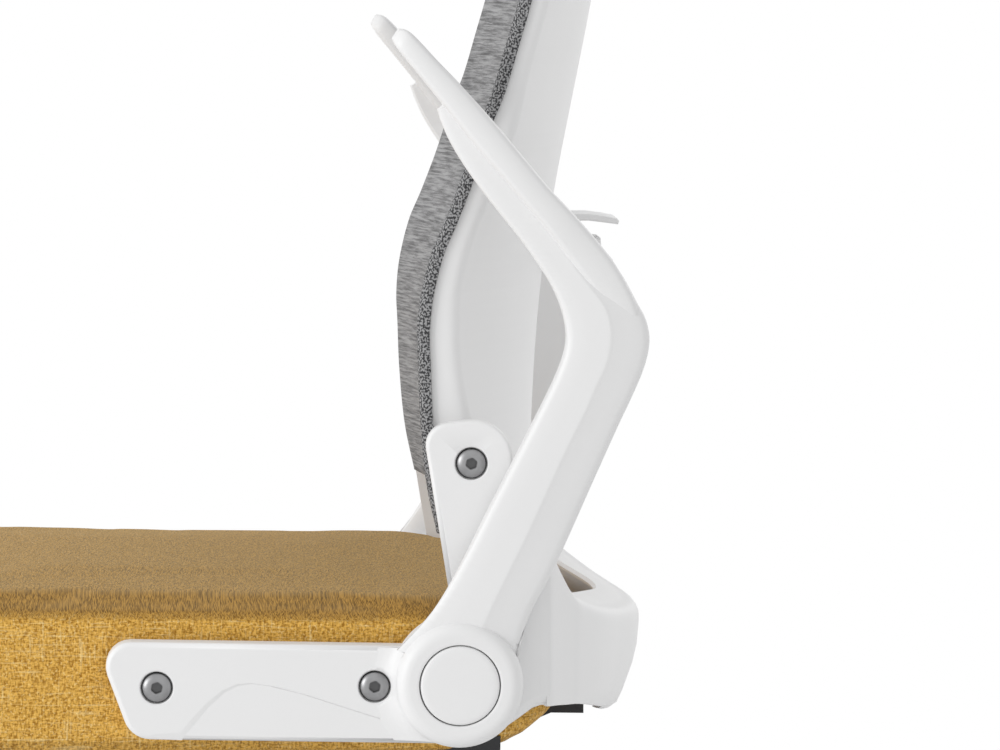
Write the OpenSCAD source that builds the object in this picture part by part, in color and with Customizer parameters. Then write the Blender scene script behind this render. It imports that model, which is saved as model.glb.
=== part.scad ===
// Swivel task chair with arms that flip up.
// The frame: +X is the sitter's left, +Y the rear, +Z up, floor at zero.
// Most pieces are drawn about the arm pivot: y counts rearward and z up from its axis.

/* [Stance] */
// Height of the arm pivot above the floor, seat at middle height
hub_z = 418; // [408:1:440]
// Distance of the arm pivot behind the column
hub_back = 144; // [136:1:150]

/* [Seat] */
// Width of the cushion
seat_w = 476; // [450:1:500]
// Front edge of the cushion, ahead of the pivot
seat_front = 396; // [380:1:420]
// Rear edge of the cushion at its middle, behind the pivot
seat_rear = 92; // [84:1:94]
// Top edge of the cushion above the pivot
seat_top = 43; // [38:1:50]
// Bottom edge of the cushion below the pivot
seat_low = 38; // [36:1:42]
// Rise of the crown above the top edge
seat_crown = 7; // [3:1:12]
// Radius of the seat's front corners in plan
seat_front_r = 70; // [50:1:90]
// Radius of the seat's rear corners in plan
seat_rear_r = 110; // [90:1:120]
// Thickness of the seat pan
pan_t = 12; // [9:1:14]
// Depth of the black shell under the seat
shell_depth = 13; // [10:1:18]

/* [Side bracket] */
// Gap between cushion side and bracket
bracket_gap = 0.3; // [0.2:0.1:1]
// Thickness of the bar along the seat
bar_t = 18; // [14:1:20]
// Reach of the bar ahead of the pivot
bar_reach = 213; // [190:1:225]
// Top edge of the bar above the pivot
bar_top = 23; // [18:1:27]
// Bottom edge of the bar below the pivot
bar_low = 36; // [32:1:38]
// Radius of the pivot boss
boss_r = 36.5; // [34:0.5:38]
// Distance from the bracket's inner face to the arm's bearing face
boss_t = 27.7; // [26:0.1:30]
// Thickness of the tongue that holds the back
tongue_t = 11.7; // [9:0.1:12]
// Height of the back bolt above the pivot
tongue_bolt_z = 132; // [126:1:136]
// Back bolt behind the pivot
tongue_bolt_y = 8; // [5:1:10]
// Radius of the tongue's head
tongue_r = 26; // [22:1:28]

/* [Bolts] */
// Diameter of the button heads
bolt_head_d = 18; // [16:0.5:20]
// Diameter of the seat and back bolts
bolt_d = 8; // [6:0.5:8]
// Front seat bolt ahead of the pivot
seat_bolt_front = 183; // [175:1:188]
// Rear seat bolt ahead of the pivot
seat_bolt_rear = 51; // [50:1:60]
// Diameter of the arm's pivot bolt
pivot_d = 12; // [10:1:14]

/* [Arm] */
// Radius of the arm's pivot ring
ring_r = 38.5; // [37:0.5:40]
// Thickness of the pivot ring
ring_t = 13.6; // [12.6:0.1:15]
// Radius of the round cap in the ring
cap_r = 24.6; // [22:0.1:26]
// Corner of the arm behind the pivot
arm_corner_y = 99.7; // [92:0.1:105]
// Corner of the arm above the pivot
arm_corner_z = 220.8; // [215:0.1:230]
// Tip of the arm ahead of the pivot
arm_tip_y = 37; // [30:1:45]
// Tip of the arm above the pivot
arm_tip_z = 391; // [380:1:400]
// Bend radius of the arm's centre line
arm_bend_r = 86; // [70:1:95]
// Width of the arm at its foot
arm_w = 50; // [44:1:54]
// Thickness of the arm, side to side
arm_t = 27; // [24:1:28]
// Width of the pad, side to side
pad_w = 44; // [38:1:48]
// Thickness of the pad
pad_t = 18; // [15:1:20]

/* [Rear band] */
// Rear-most point of the band behind the pivot
band_reach = 125.5; // [122:0.5:132]
// Start of the band behind the pivot
band_start = 54; // [52:1:58]
// Wall of the band
band_t = 5; // [4:0.5:6]

/* [Back] */
// Top of the back above the pivot
back_top = 530; // [500:1:560]
// Bottom edge of the back above the pivot
back_low = 86; // [84:1:90]
// Corner radius of the back seen from the front
back_corner_r = 62; // [50:1:75]
// How far the mesh falls back at its middle
mesh_fall = 28; // [20:1:32]
// Thickness of the mesh
mesh_t = 1.6; // [1.2:0.1:2]
// Wall of the back shell
back_wall = 4; // [3:0.5:5]

/* [Lumbar] */
// Height of the lumbar tab above the pivot
tab_z = 266; // [260:1:272]
// Reach of the lumbar tab behind the pivot
tab_reach = 111; // [106:1:115]
// Width of the lumbar pad
lumbar_w = 230; // [200:1:250]
// Travel of the lumbar pad each way
lumbar_travel = 20; // [10:1:22]

/* [Mechanism] */
// Tilt pin ahead of the column
pin_ahead = 56; // [50:1:60]
// Tilt pin below the arm pivot
pin_below = 74; // [72:1:76]
// Half width of the mechanism housing
housing_half = 64; // [58:1:66]
// Diameter of the tilt pin
pin_d = 12; // [10:1:14]
// Length of the height lever from the housing's side
lever_reach = 150; // [120:1:170]

/* [Column and base] */
// Outer diameter of the column tube
tube_d = 50; // [48:1:52]
// Diameter of the gas cylinder
gas_d = 28; // [26:1:30]
// Top of the column tube above the floor
tube_top = 258; // [250:1:262]
// Radius from the column to the caster stems
base_r = 280; // [260:1:300]
// Height of the base's leg ends above the floor, underside
leg_z = 66; // [65:0.5:70]
// Height of the base's hub, top to bottom
base_hub_h = 62; // [50:1:70]
// Wheel diameter of the casters
wheel_d = 60; // [50:1:60]
// Width of one wheel
wheel_w = 19; // [16:1:20]
// Offset of the wheel axle from the caster stem
caster_trail = 20; // [16:1:22]

/* [Hidden] */
$fn = 48;

// Clearances: a seat between fixed pieces, a running fit, a gap between moving pieces
seat_gap = 0.05;
run_gap = 0.05;
move_gap = 0.3;
// Overrun of a cutting tool
over = 1;

white = [0.93, 0.93, 0.92];
black = [0.12, 0.12, 0.13];
steel = [0.62, 0.63, 0.64];

// The base has one leg straight back; the casters trail outward
legs = 5;
leg_step = 360 / legs;
wheel_r = wheel_d / 2;
wheel_in = 4.2;
wheel_out = wheel_in + wheel_w;
caster_reach = base_r + caster_trail;
fork_half = wheel_out + 1;
hood_gap = 1.4;
hood_t = 3.4;
hood_r = wheel_r + hood_gap + hood_t;
rear_reach = caster_reach + hood_r;
front_reach = (caster_reach + hood_r) * cos(leg_step / 2) + fork_half * sin(leg_step / 2);
col_y = (front_reach - rear_reach) / 2;
hub_y = col_y + hub_back;

function flat(lists) = [for (a = lists) for (b = a) b];
function mix(a, b, t) = a + (b - a) * t;
function turned(p, angle) = [p[0] * cos(angle) - p[1] * sin(angle), p[0] * sin(angle) + p[1] * cos(angle)];

// Move to the arm pivot's axis at the middle of the chair
module at_hub() translate([0, hub_y, hub_z]) children();
// Draw an outline of (rearward, upward) points from x = low to x = high
module across(low, high) translate([low, 0, 0]) rotate([90, 0, 90]) linear_extrude(high - low) children();
// A cylinder along X from x = low to x = high
module rod_x(r, low, high) translate([low, 0, 0]) rotate([0, 90, 0]) cylinder(r = r, h = high - low);
// The pieces of one side: 1 is the sitter's left, -1 the right
module on_side(side) if (side > 0) children(); else mirror([1, 0, 0]) children();

// A closed skin over a stack of rings that all have the same number of points.
// Seen along the stack, from its start, the rings run clockwise. A ring that follows a wall,
// out along one face and back along the other, is a strip, and its caps pair the two faces.
module loft(rings, looped = false, strip = false) {
    n = len(rings[0]);
    m = len(rings);
    last = looped ? m - 1 : m - 2;
    skin = flat([for (i = [0:last]) let (a = i * n, b = ((i + 1) % m) * n) flat([
        for (j = [0:n - 1]) let (k = (j + 1) % n) [[a + j, a + k, b + k], [a + j, b + k, b + j]]])]);
    far = (m - 1) * n;
    caps = looped ? [] : strip
        ? flat([for (j = [0:n / 2 - 2]) let (k = n - 1 - j) [
            [j, k, j + 1], [j + 1, k, k - 1], [far + j, far + j + 1, far + k], [far + j + 1, far + k - 1, far + k]]])
        : [[for (j = [n - 1:-1:0]) j], [for (j = [0:n - 1]) far + j]];
    polyhedron(points = flat(rings), faces = concat(skin, caps), convexity = 8);
}

// Seat: plan outline as a rounded rectangle, inset by a margin, clockwise from above
plan_steps = 6;
function seat_plan(inset, z, crown = 0) =
    let (h = seat_w / 2 - inset, rf = max(seat_front_r - inset, over), rr = max(seat_rear_r - inset, over),
         front = -seat_front + inset, rear = seat_rear - inset,
         arc = [for (i = [0:plan_steps]) 90 * i / plan_steps],
         corners = concat(
             [for (a = arc) [-h + rf - rf * cos(a), front + rf - rf * sin(a)]],
             [for (a = arc) [h - rf + rf * sin(a), front + rf - rf * cos(a)]],
             [for (a = arc) [h - rr + rr * cos(a), rear - rr + rr * sin(a)]],
             [for (a = arc) [-h + rr - rr * sin(a), rear - rr + rr * cos(a)]]))
    [for (i = [len(corners) - 1:-1:0]) [corners[i][0], corners[i][1], z + crown + seat_fall(corners[i][1]) * (z > 0 ? 1 : 0)]];
// The top falls towards the rear and a little at the front edge; shares of length and of top height
seat_fall_shares = [[-1, -0.1], [-0.75, 0], [-0.45, 0.03], [-0.2, -0.08], [0.02, -0.2], [0.23, -0.36]];
function seat_fall(y) = seat_top * lookup(y / seat_front, seat_fall_shares);
pan_low = -seat_low;
pan_top = pan_low + pan_t;
pan_inset = 14;
pan_rear = 27;
function pocket_plan(inset, z) = [for (p = seat_plan(inset, z)) [p[0], min(p[1], pan_rear + bracket_gap), p[2]]];
flange_t = 11;
flange_front = seat_bolt_front + 14;
flange_rear = seat_bolt_rear - 11;
flange_top = 16;
flange_pad_low = -16;
bracket_x = seat_w / 2 + bracket_gap;
back_in = 16;
back_half = seat_w / 2 - back_in;
// The cushion's side: inset and height of each ring, as shares of the side's height
side_shares = [[0.1, 0], [0.02, 0.1], [0, 0.3], [0, 0.6], [0.01, 0.8], [0.05, 0.93], [0.13, 1]];
crown_shares = [[0.35, 0.35], [0.8, 0.7], [1.5, 0.93], [2.3, 1]];

// The seat's underside sweeps up to the rear; shares of the rear reach and of the depth below the hub
sweep_shares = [[0.3, -1], [0.39, -0.935], [0.555, -0.71], [0.65, -0.51], [0.73, -0.32], [0.79, -0.08],
    [0.87, 0.26], [0.935, 0.6], [1.02, 1.1]];
sweep = [for (s = sweep_shares) [s[0] * seat_rear, s[1] * seat_low]];
module swept_off() across(-seat_w / 2 - over, seat_w / 2 + over)
    polygon(concat(sweep, [[sweep[8][0] + seat_low, sweep[8][1]], [sweep[8][0] + seat_low, -2 * seat_low], [sweep[0][0], -2 * seat_low]]));

module seat_cushion() color([0.84, 0.62, 0.22]) at_hub() {
    high = seat_top + seat_low;
    pocket = pan_inset - bracket_gap;
    roof = pan_top + bracket_gap;
    difference() {
        loft(concat(
            [pocket_plan(pocket, roof), pocket_plan(pocket, pan_low)],
            [for (s = side_shares) seat_plan(s[0] * high, pan_low + s[1] * high)],
            [for (s = crown_shares) seat_plan(s[0] * high, seat_top, s[1] * seat_crown)]));
        for (side = [-1, 1]) on_side(side) flange(bracket_gap, over);
        swept_off();
    }
}

// Seat pan: plate with a flange each side for the bracket bolts and four feet for the mechanism
plate_half_x = housing_half + 6;
plate_front = hub_back + 86;
plate_rear = hub_back - 84;
foot_r = 12;
foot_h = 8;
foot_x = plate_half_x - 16;
plate_bolt_d = 6;
insert_wall = 2;
insert_l = 10;
module plate_places() for (x = [-foot_x, foot_x], y = [-plate_front + 18, -plate_rear - 18])
    translate([x, y, 0]) children();
module seat_bolt_places() for (y = [-seat_bolt_front, -seat_bolt_rear]) translate([0, y, -3]) children();
insert_r = bolt_d / 2 + insert_wall;
plate_insert_r = plate_bolt_d / 2 + insert_wall;

// The flange: a wall on the pan's edge, and a pad on the wall that reaches the bracket
module flange(gap, past) {
    length = flange_front - flange_rear + 2 * gap;
    translate([seat_w / 2 - pan_inset - flange_t - gap, -flange_front - gap, pan_low - past])
        cube([flange_t + 2 * gap, length, flange_top - pan_low + gap + past]);
    translate([seat_w / 2 - pan_inset - over, -flange_front - gap, flange_pad_low - gap])
        cube([pan_inset + over + past, length, flange_top - flange_pad_low + 2 * gap]);
}

module seat_pan() color(black) at_hub() difference() {
    union() {
        translate([0, 0, pan_low]) linear_extrude(pan_t)
            polygon([for (p = seat_plan(pan_inset, pan_low)) [p[0], min(p[1], pan_rear)]]);
        for (side = [-1, 1]) on_side(side) flange(0, 0);
        translate([0, 0, pan_low - foot_h]) plate_places() cylinder(r = foot_r, h = foot_h + over);
    }
    for (side = [-1, 1]) on_side(side) seat_bolt_places()
        rod_x(insert_r, seat_w / 2 - pan_inset - flange_t - over, seat_w / 2 + over);
    translate([0, 0, pan_low - foot_h - over]) plate_places()
        cylinder(r = plate_insert_r, h = foot_h + pan_t);
}

// Threaded inserts, pressed into the pan
module seat_inserts() color([0.8, 0.66, 0.35]) at_hub() {
    for (side = [-1, 1]) on_side(side) seat_bolt_places() difference() {
        rod_x(insert_r, seat_w / 2 - pan_inset - flange_t, seat_w / 2);
        rod_x(bolt_d / 2 + seat_gap, seat_w / 2 - pan_inset - flange_t - over, seat_w / 2 + over);
    }
    translate([0, 0, pan_low - foot_h]) plate_places() difference() {
        cylinder(r = plate_insert_r, h = insert_l);
        translate([0, 0, -over]) cylinder(r = plate_bolt_d / 2 + seat_gap, h = insert_l + 2 * over);
    }
}

// Black shell under the pan: a shallow tray with a window for the mechanism plate
shell_wall = 3;
shell_inset = 5;
shell_low = pan_low - shell_depth;
window_gap = 6;
apron_half = 150;
apron_rear = 82;
apron_t = 10;
apron_low_shares = [[0.67, -0.87], [0.54, -1], [0.41, -1.16], [0.3, -1.3]];
module seat_undershell() color(black) at_hub() difference() {
    union() {
        difference() {
            loft([seat_plan(shell_inset + shell_depth * 0.8, shell_low), seat_plan(shell_inset + shell_depth * 0.3, shell_low + shell_depth * 0.3),
                seat_plan(shell_inset, pan_low - bracket_gap)]);
            translate([0, 0, shell_low + shell_wall]) linear_extrude(shell_depth)
                polygon([for (p = seat_plan(shell_inset + shell_depth, 0)) [p[0], min(p[1], pan_rear - 2 * shell_wall)]]);
            translate([-seat_w, pan_rear, shell_low - over]) cube([2 * seat_w, seat_rear, 2 * shell_depth]);
        }
        // An apron goes on up behind the cushion and ends in a lip
        across(-apron_half, apron_half) polygon(concat(
            [[pan_rear - shell_wall, shell_low], [pan_rear - shell_wall, pan_low - 2 * bracket_gap]],
            [for (k = [0:3]) [sweep[k][0] + (k == 0 ? 0 : bracket_gap), sweep[k][1] - 2 * bracket_gap]],
            [[apron_rear, sweep[3][1] - 4], [apron_rear, sweep[3][1] - 4 - apron_t]],
            [for (s = apron_low_shares) [s[0] * seat_rear, s[1] * seat_low]]));
    }
    translate([-plate_half_x - window_gap, -plate_front - window_gap, shell_low - over])
        cube([2 * (plate_half_x + window_gap), plate_front - plate_rear + 2 * window_gap, shell_depth]);
}

// Side bracket: bar along the seat, boss for the arm, tongue for the back, lug for the band
bar_x = bracket_x + bar_t;
boss_x = bracket_x + boss_t;
tongue_x = bracket_x + tongue_t;
bar_corner_r = 12;
bar_slant = 24;
recess_r = bolt_head_d / 2 + 1;
recess_d = 2.6;
neck_half = 12;
neck_z = tongue_bolt_z - tongue_r - 12;
lug_t = 3;
lug_low = -10;
lug_top = 36;
web_top = 84;
web_shares = [[0, -1], [0.23, -0.97], [0.45, -0.82], [0.7, -0.6], [0.85, -0.42], [1, -0.4]];
lug_front = band_start - 9.5;
lug_rear = band_start + 10;
lug_x = bracket_x - move_gap;
band_screw_y = band_start - 4.5;
band_screw_zs = [lug_low + 12, lug_top - 12];
band_screw_d = 5;
band_screw_l = 7.5;

module bracket() color(white) at_hub() difference() {
    union() {
        across(bracket_x, bar_x) union() {
            polygon([[-boss_r / 2, bar_top], [-bar_reach + bar_corner_r, bar_top],
                [-bar_reach, bar_top - bar_corner_r], [-bar_reach + bar_slant - bar_corner_r / 2, -bar_low + bar_corner_r],
                [-bar_reach + bar_slant + bar_corner_r, -bar_low], [-boss_r / 4, -bar_low]]);
            translate([-bar_reach + bar_corner_r, bar_top - bar_corner_r]) circle(r = bar_corner_r);
            translate([-bar_reach + bar_slant + bar_corner_r * 0.55, -bar_low + bar_corner_r]) circle(r = bar_corner_r);
        }
        rod_x(boss_r, bracket_x, boss_x);
        across(bracket_x, tongue_x) union() {
            translate([tongue_bolt_y, tongue_bolt_z]) circle(r = tongue_r);
            polygon([[-boss_r * 0.3, boss_r / 2], [tongue_bolt_y - neck_half - 4, neck_z],
                [tongue_bolt_y - tongue_r * 0.96, tongue_bolt_z], [tongue_bolt_y + tongue_r * 0.9, tongue_bolt_z - tongue_r * 0.45],
                [tongue_bolt_y + neck_half, neck_z], [boss_r * 0.85, boss_r / 2]]);
        }
        across(bracket_x, band_half) polygon(concat(
            [for (s = web_shares) [s[0] * (band_start - move_gap), s[1] * bar_low]],
            [[band_start - move_gap, web_top], [tongue_bolt_y + tongue_r * 0.9, neck_z + neck_half],
                [tongue_bolt_y, neck_z + neck_half]]));
    }
    seat_bolt_places() {
        rod_x(bolt_d / 2 + seat_gap, bracket_x - over, bar_x + over);
        rod_x(recess_r, bar_x - recess_d, bar_x + over);
    }
    translate([0, tongue_bolt_y, tongue_bolt_z]) {
        rod_x(bolt_d / 2 + seat_gap, bracket_x - over, tongue_x + over);
        rod_x(recess_r, tongue_x - recess_d, tongue_x + over);
    }
    rod_x(pivot_d / 2 + seat_gap, bracket_x - over, boss_x + over);
    for (z = band_screw_zs) translate([0, band_screw_y, z])
        rod_x(band_screw_d / 2 + seat_gap, bracket_x - over, bracket_x + band_screw_l);
}
module left_side_bracket() on_side(1) bracket();
module right_side_bracket() on_side(-1) bracket();

// A button head bolt along X: seat of the head at x = 0, shank towards -x
head_h = 4.4;
socket_share = 0.36;
module button_bolt(length, d, head_d) difference() {
    union() {
        rod_x(d / 2, -length, head_h / 2);
        rod_x(head_d / 2, 0, head_h * 0.3);
        translate([head_h * 0.3, 0, 0]) rotate([0, 90, 0])
            cylinder(r1 = head_d / 2, r2 = head_d * 0.4, h = head_h * 0.45);
        translate([head_h * 0.75, 0, 0]) rotate([0, 90, 0])
            cylinder(r1 = head_d * 0.4, r2 = head_d * 0.27, h = head_h * 0.25);
    }
    translate([head_h / 2, 0, 0]) rotate([0, 90, 0]) cylinder(r = head_d * socket_share / 2 * 1.15, h = head_h, $fn = 6);
}
module seat_bolts() color(steel) at_hub() for (side = [-1, 1]) on_side(side) seat_bolt_places()
    translate([bar_x - recess_d, 0, 0]) button_bolt(bar_t - recess_d + 18, bolt_d, bolt_head_d);
back_bolt_l = tongue_t - recess_d + bracket_x - back_half + 14;
module back_bolts() color(steel) at_hub() for (side = [-1, 1]) on_side(side)
    translate([tongue_x - recess_d, tongue_bolt_y, tongue_bolt_z]) button_bolt(back_bolt_l, bolt_d, bolt_head_d);

// Rear band: near walls that lean in a little, round corners, and a rear wall that slopes under.
// Its top curls inward as a flange that rises to a rim round a leaf-shaped opening.
band_half = bar_x - 6;
band_unit = 100;
band_deep = band_reach - band_start;
// From a side to the middle, as shares: x of band_half and y of the depth; then of 100 mm:
// lower edge, shoulder, flange's reach inward, rim, and how far the wall slopes under
band_row_shares = [
    [1, 0, -0.16, 0.84, 0.012, 0.85, 0], [0.996, 0.063, -0.163, 0.75, 0.014, 0.76, 0],
    [0.96, 0.14, -0.17, 0.64, 0.02, 0.65, 0], [0.887, 0.238, -0.185, 0.525, 0.08, 0.54, 0.005],
    [0.827, 0.35, -0.2, 0.46, 0.16, 0.49, 0.015], [0.671, 0.56, -0.26, 0.365, 0.28, 0.43, 0.05],
    [0.447, 0.762, -0.34, 0.29, 0.31, 0.375, 0.1], [0.24, 0.923, -0.41, 0.25, 0.3, 0.335, 0.16],
    [0.116, 0.987, -0.46, 0.237, 0.28, 0.315, 0.21], [0, 1, -0.485, 0.235, 0.27, 0.31, 0.24]];
band_wall_shares = [[1, 0], [0.73, 0.06], [0.52, 0.2], [0.19, 0.5], [0.06, 0.7], [0, 0.93]];
band_round = 9;
band_last = len(band_row_shares) - 1;
function band_xy(k) = [band_half * band_row_shares[k][0], band_start + band_deep * band_row_shares[k][1]];
function band_out(k) = let (d = k == 0 ? [0, 1] : k == band_last ? [-1, 0] : band_xy(k + 1) - band_xy(k - 1)) [d[1], -d[0]] / norm(d);
// The wall from its lower edge up, round the shoulder, and in along the flange: inward reach and height
function band_profile(r) =
    let (low = r[2] * band_unit, top = r[3] * band_unit, reach = r[4] * band_unit, rim = r[5] * band_unit,
         under = r[6] * band_unit, round = min(band_round, reach * 0.6), up = top - round)
    concat([for (s = band_wall_shares) [s[0] * under, mix(low, up, s[1])]],
        [[0, up], [round * 0.3, up + round * 0.7], [round, top], [mix(round, reach, 0.5), mix(top, rim, 0.6)], [reach, rim]]);
function band_line(k, inset) =
    let (at = band_xy(k), n = band_out(k), path = band_profile(band_row_shares[k]), far = len(path) - 1)
    [for (i = [0:far]) let (flat_part = max(0, (i - far + 4) / 4), d = path[i][0] + inset * (1 - 0.75 * flat_part))
        [at[0] - n[0] * d, at[1] - n[1] * d, path[i][1] - inset * 0.75 * flat_part]];
function reversed(a) = [for (i = [len(a) - 1:-1:0]) a[i]];
function band_ring(k) = let (row = band_last - abs(k), side = k < 0 ? 1 : -1)
    [for (p = concat(band_line(row, 0), reversed(band_line(row, band_t)))) [side * p[0], p[1], p[2]]];
module rear_band() color(white) at_hub() difference() {
    union() {
        loft([for (k = [-band_last:band_last]) band_ring(k)], strip = true);
        for (side = [-1, 1]) on_side(side) translate([lug_x - lug_t, lug_front, lug_low])
            cube([lug_t, lug_rear - lug_front, lug_top - lug_low]);
    }
    for (side = [-1, 1], z = band_screw_zs) on_side(side) translate([0, band_screw_y, z])
        rod_x(band_screw_d / 2 + seat_gap, lug_x - lug_t - over, lug_x + over);
}
module band_screws() color(steel) at_hub() for (side = [-1, 1], z = band_screw_zs) on_side(side)
    translate([lug_x - lug_t, band_screw_y, z]) mirror([1, 0, 0])
        button_bolt(band_screw_l, band_screw_d, band_screw_d * 1.5);

// Back: places up its height, as shares of the top height and of a unit of depth
depth_unit = 100;
front_shares = [[0.157, -0.085], [0.223, -0.155], [0.294, -0.205], [0.357, -0.225], [0.393, -0.235],
    [0.434, -0.215], [0.485, -0.15], [0.521, -0.07], [0.57, 0.03], [0.638, 0.15], [0.67, 0.22],
    [0.721, 0.3], [0.777, 0.385], [0.85, 0.465], [0.93, 0.525], [1, 0.56]];
crease_shares = [[0.157, 0.25], [0.223, 0.17], [0.294, 0.09], [0.357, 0.03], [0.4, 0.02], [0.447, 0.03],
    [0.5, 0.1], [0.549, 0.2], [0.619, 0.35], [0.706, 0.46], [0.777, 0.565], [0.85, 0.64], [0.93, 0.695], [1, 0.73]];
rear_shares = [[0.157, 0.55], [0.25, 0.55], [0.4, 0.6], [0.543, 0.7], [0.77, 0.93], [0.9, 1.04], [1, 1.08]];
wrap_shares = [[0.157, 0.07], [1, 0.075]];
function back_front(z) = depth_unit * lookup(z / back_top, front_shares);
function back_crease(z) = depth_unit * lookup(z / back_top, crease_shares);
function back_rear(z) = depth_unit * lookup(z / back_top, rear_shares);
function mesh_wrap(z) = depth_unit * lookup(z / back_top, wrap_shares);
corner_z = back_top - back_corner_r;
// Half width at a height, drawn in round at the top corners
function back_x(z) = z < corner_z ? back_half : back_half - back_corner_r
    + back_corner_r * sqrt(max(0.02, 1 - pow((z - corner_z) / back_corner_r, 2)));
// The rear bulge closes towards the rim at the top and at the bottom
function back_full(z) = z < corner_z ? min(1, 0.55 + (z - back_low) / depth_unit)
    : sqrt(max(0.02, 1 - pow((z - corner_z) / back_corner_r, 2)));
back_zs = concat([for (i = [0:13]) mix(back_low, corner_z, i / 13)],
    [for (a = [20, 38, 54, 68, 80]) corner_z + back_corner_r * sin(a)]);
bulge_shares = [0, 0.22, 0.45, 0.65, 0.8, 0.9, 0.96];
function bulge(z, s) =
    let (crease = back_crease(z), deep = back_rear(z) - crease)
    crease + deep * back_full(z) * (1 - pow(s, 2.4));
rim_front = 6;
function shell_path(z, inset) =
    let (x = back_x(z) - inset, crease = back_crease(z) - inset, front = back_front(z) + rim_front)
    concat([[x, front], [x, crease - 4], [x - 3, crease]],
        [for (k = [len(bulge_shares) - 1:-1:0]) [x * bulge_shares[k] * 0.985, bulge(z, bulge_shares[k]) - inset]],
        [for (k = [1:len(bulge_shares) - 1]) [-x * bulge_shares[k] * 0.985, bulge(z, bulge_shares[k]) - inset]],
        [[-x + 3, crease], [-x, crease - 4], [-x, front]]);
function c_ring(there, back, z) = concat([for (p = there) [p[0], p[1], z]],
    [for (k = [len(back) - 1:-1:0]) [back[k][0], back[k][1], z]]);
slot_half = 7;
tab_lean = 11;
slider_h = 32;
slot_low = tab_z - slider_h / 2 - 8 - lumbar_travel - 2;
slot_top = tab_z + slider_h / 2 - 8 + lumbar_travel + 2;
post_r = 15;
post_in = 12;

module back_shell() color(white) at_hub() difference() {
    union() {
        loft([for (z = back_zs) c_ring(shell_path(z, back_wall), shell_path(z, 0), z)], strip = true);
        for (side = [-1, 1]) on_side(side) translate([0, tongue_bolt_y, tongue_bolt_z]) {
            rod_x(post_r, back_half - back_wall, bracket_x - move_gap);
            rod_x(bolt_d, back_half - post_in, back_half);
        }
    }
    for (side = [-1, 1]) on_side(side) translate([0, tongue_bolt_y, tongue_bolt_z])
        rod_x(bolt_d / 2 + seat_gap, back_half - post_in - over, bracket_x + over);
    translate([-slot_half, tongue_bolt_y, slot_low]) cube([2 * slot_half, 3 * post_r + depth_unit, slot_top - slot_low]);
}

// Frame ring under the mesh: a loop that follows the shell's inner wall
frame_w = 16;
frame_d = 6;
ring_steps = 14;
frame_in = 2 * back_wall;
frame_z0 = back_low + frame_in;
frame_z1 = back_top - frame_in - 3;
function frame_line() =
    let (h = back_half - frame_in, r = back_corner_r - frame_in, low_r = 20, arc = [for (i = [0:5]) 18 * i])
    concat(
        [for (i = [0:ring_steps]) [h, mix(frame_z0 + low_r, corner_z, i / ring_steps), 0]],
        [for (a = [18, 36, 54, 72, 90]) [h - r + r * cos(a), corner_z + r * sin(a) * (frame_z1 - corner_z) / r, a]],
        [for (i = [1:5]) [mix(h - r, -h + r, i / 6), frame_z1, 90]],
        [for (a = [90, 108, 126, 144, 162]) [-h + r + r * cos(a), corner_z + r * sin(a) * (frame_z1 - corner_z) / r, a]],
        [for (i = [0:ring_steps]) [-h, mix(corner_z, frame_z0 + low_r, i / ring_steps), 180]],
        [for (a = [210, 240, 270]) [-h + low_r + low_r * cos(a), frame_z0 + low_r + low_r * sin(a), a]],
        [for (i = [1:5]) [mix(-h + low_r, h - low_r, i / 6), frame_z0, 270]],
        [for (a = [270, 300, 330]) [h - low_r + low_r * cos(a), frame_z0 + low_r + low_r * sin(a), a]]);
function mesh_front(x, z) = back_front(z) + mesh_fall * back_full(z) * (1 - pow(x / back_half, 2));
function frame_ring(p) =
    let (x0 = p[0], z0 = p[1], x1 = p[0] - frame_w * cos(p[2]), z1 = p[1] - frame_w * sin(p[2]),
         y = mesh_front(x0, z0) + mesh_t + 2, yi = mesh_front(x1, z1) + mesh_t + 2)
    [[x0, y, z0], [x1, yi, z1], [x1, yi + frame_d, z1], [x0, y + frame_d, z0]];
module back_frame() color(white) at_hub() loft([for (p = frame_line()) frame_ring(p)], looped = true);

// Mesh: one sheet across the front, wrapped round the shell's sides
mesh_shares = [0.985, 0.8, 0.6, 0.3, 0];
mesh_side = mesh_t + move_gap / 2;
function mesh_path(z, inset) =
    let (x = back_x(z) + mesh_side - inset, f = back_front(z), w = f + mesh_wrap(z))
    concat([[x, w], [x, f + 3]],
        [for (s = mesh_shares) [s * x, mesh_front(s * back_x(z), z) + inset]],
        [for (k = [len(mesh_shares) - 2:-1:0]) let (s = mesh_shares[k]) [-s * x, mesh_front(s * back_x(z), z) + inset]],
        [[-x, f + 3], [-x, w]]);
module back_mesh() color([0.5, 0.5, 0.5]) at_hub()
    loft([for (z = back_zs) let (o = mesh_path(z, 0), i = mesh_path(z, mesh_t)) c_ring(o, i, z)], strip = true);

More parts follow.
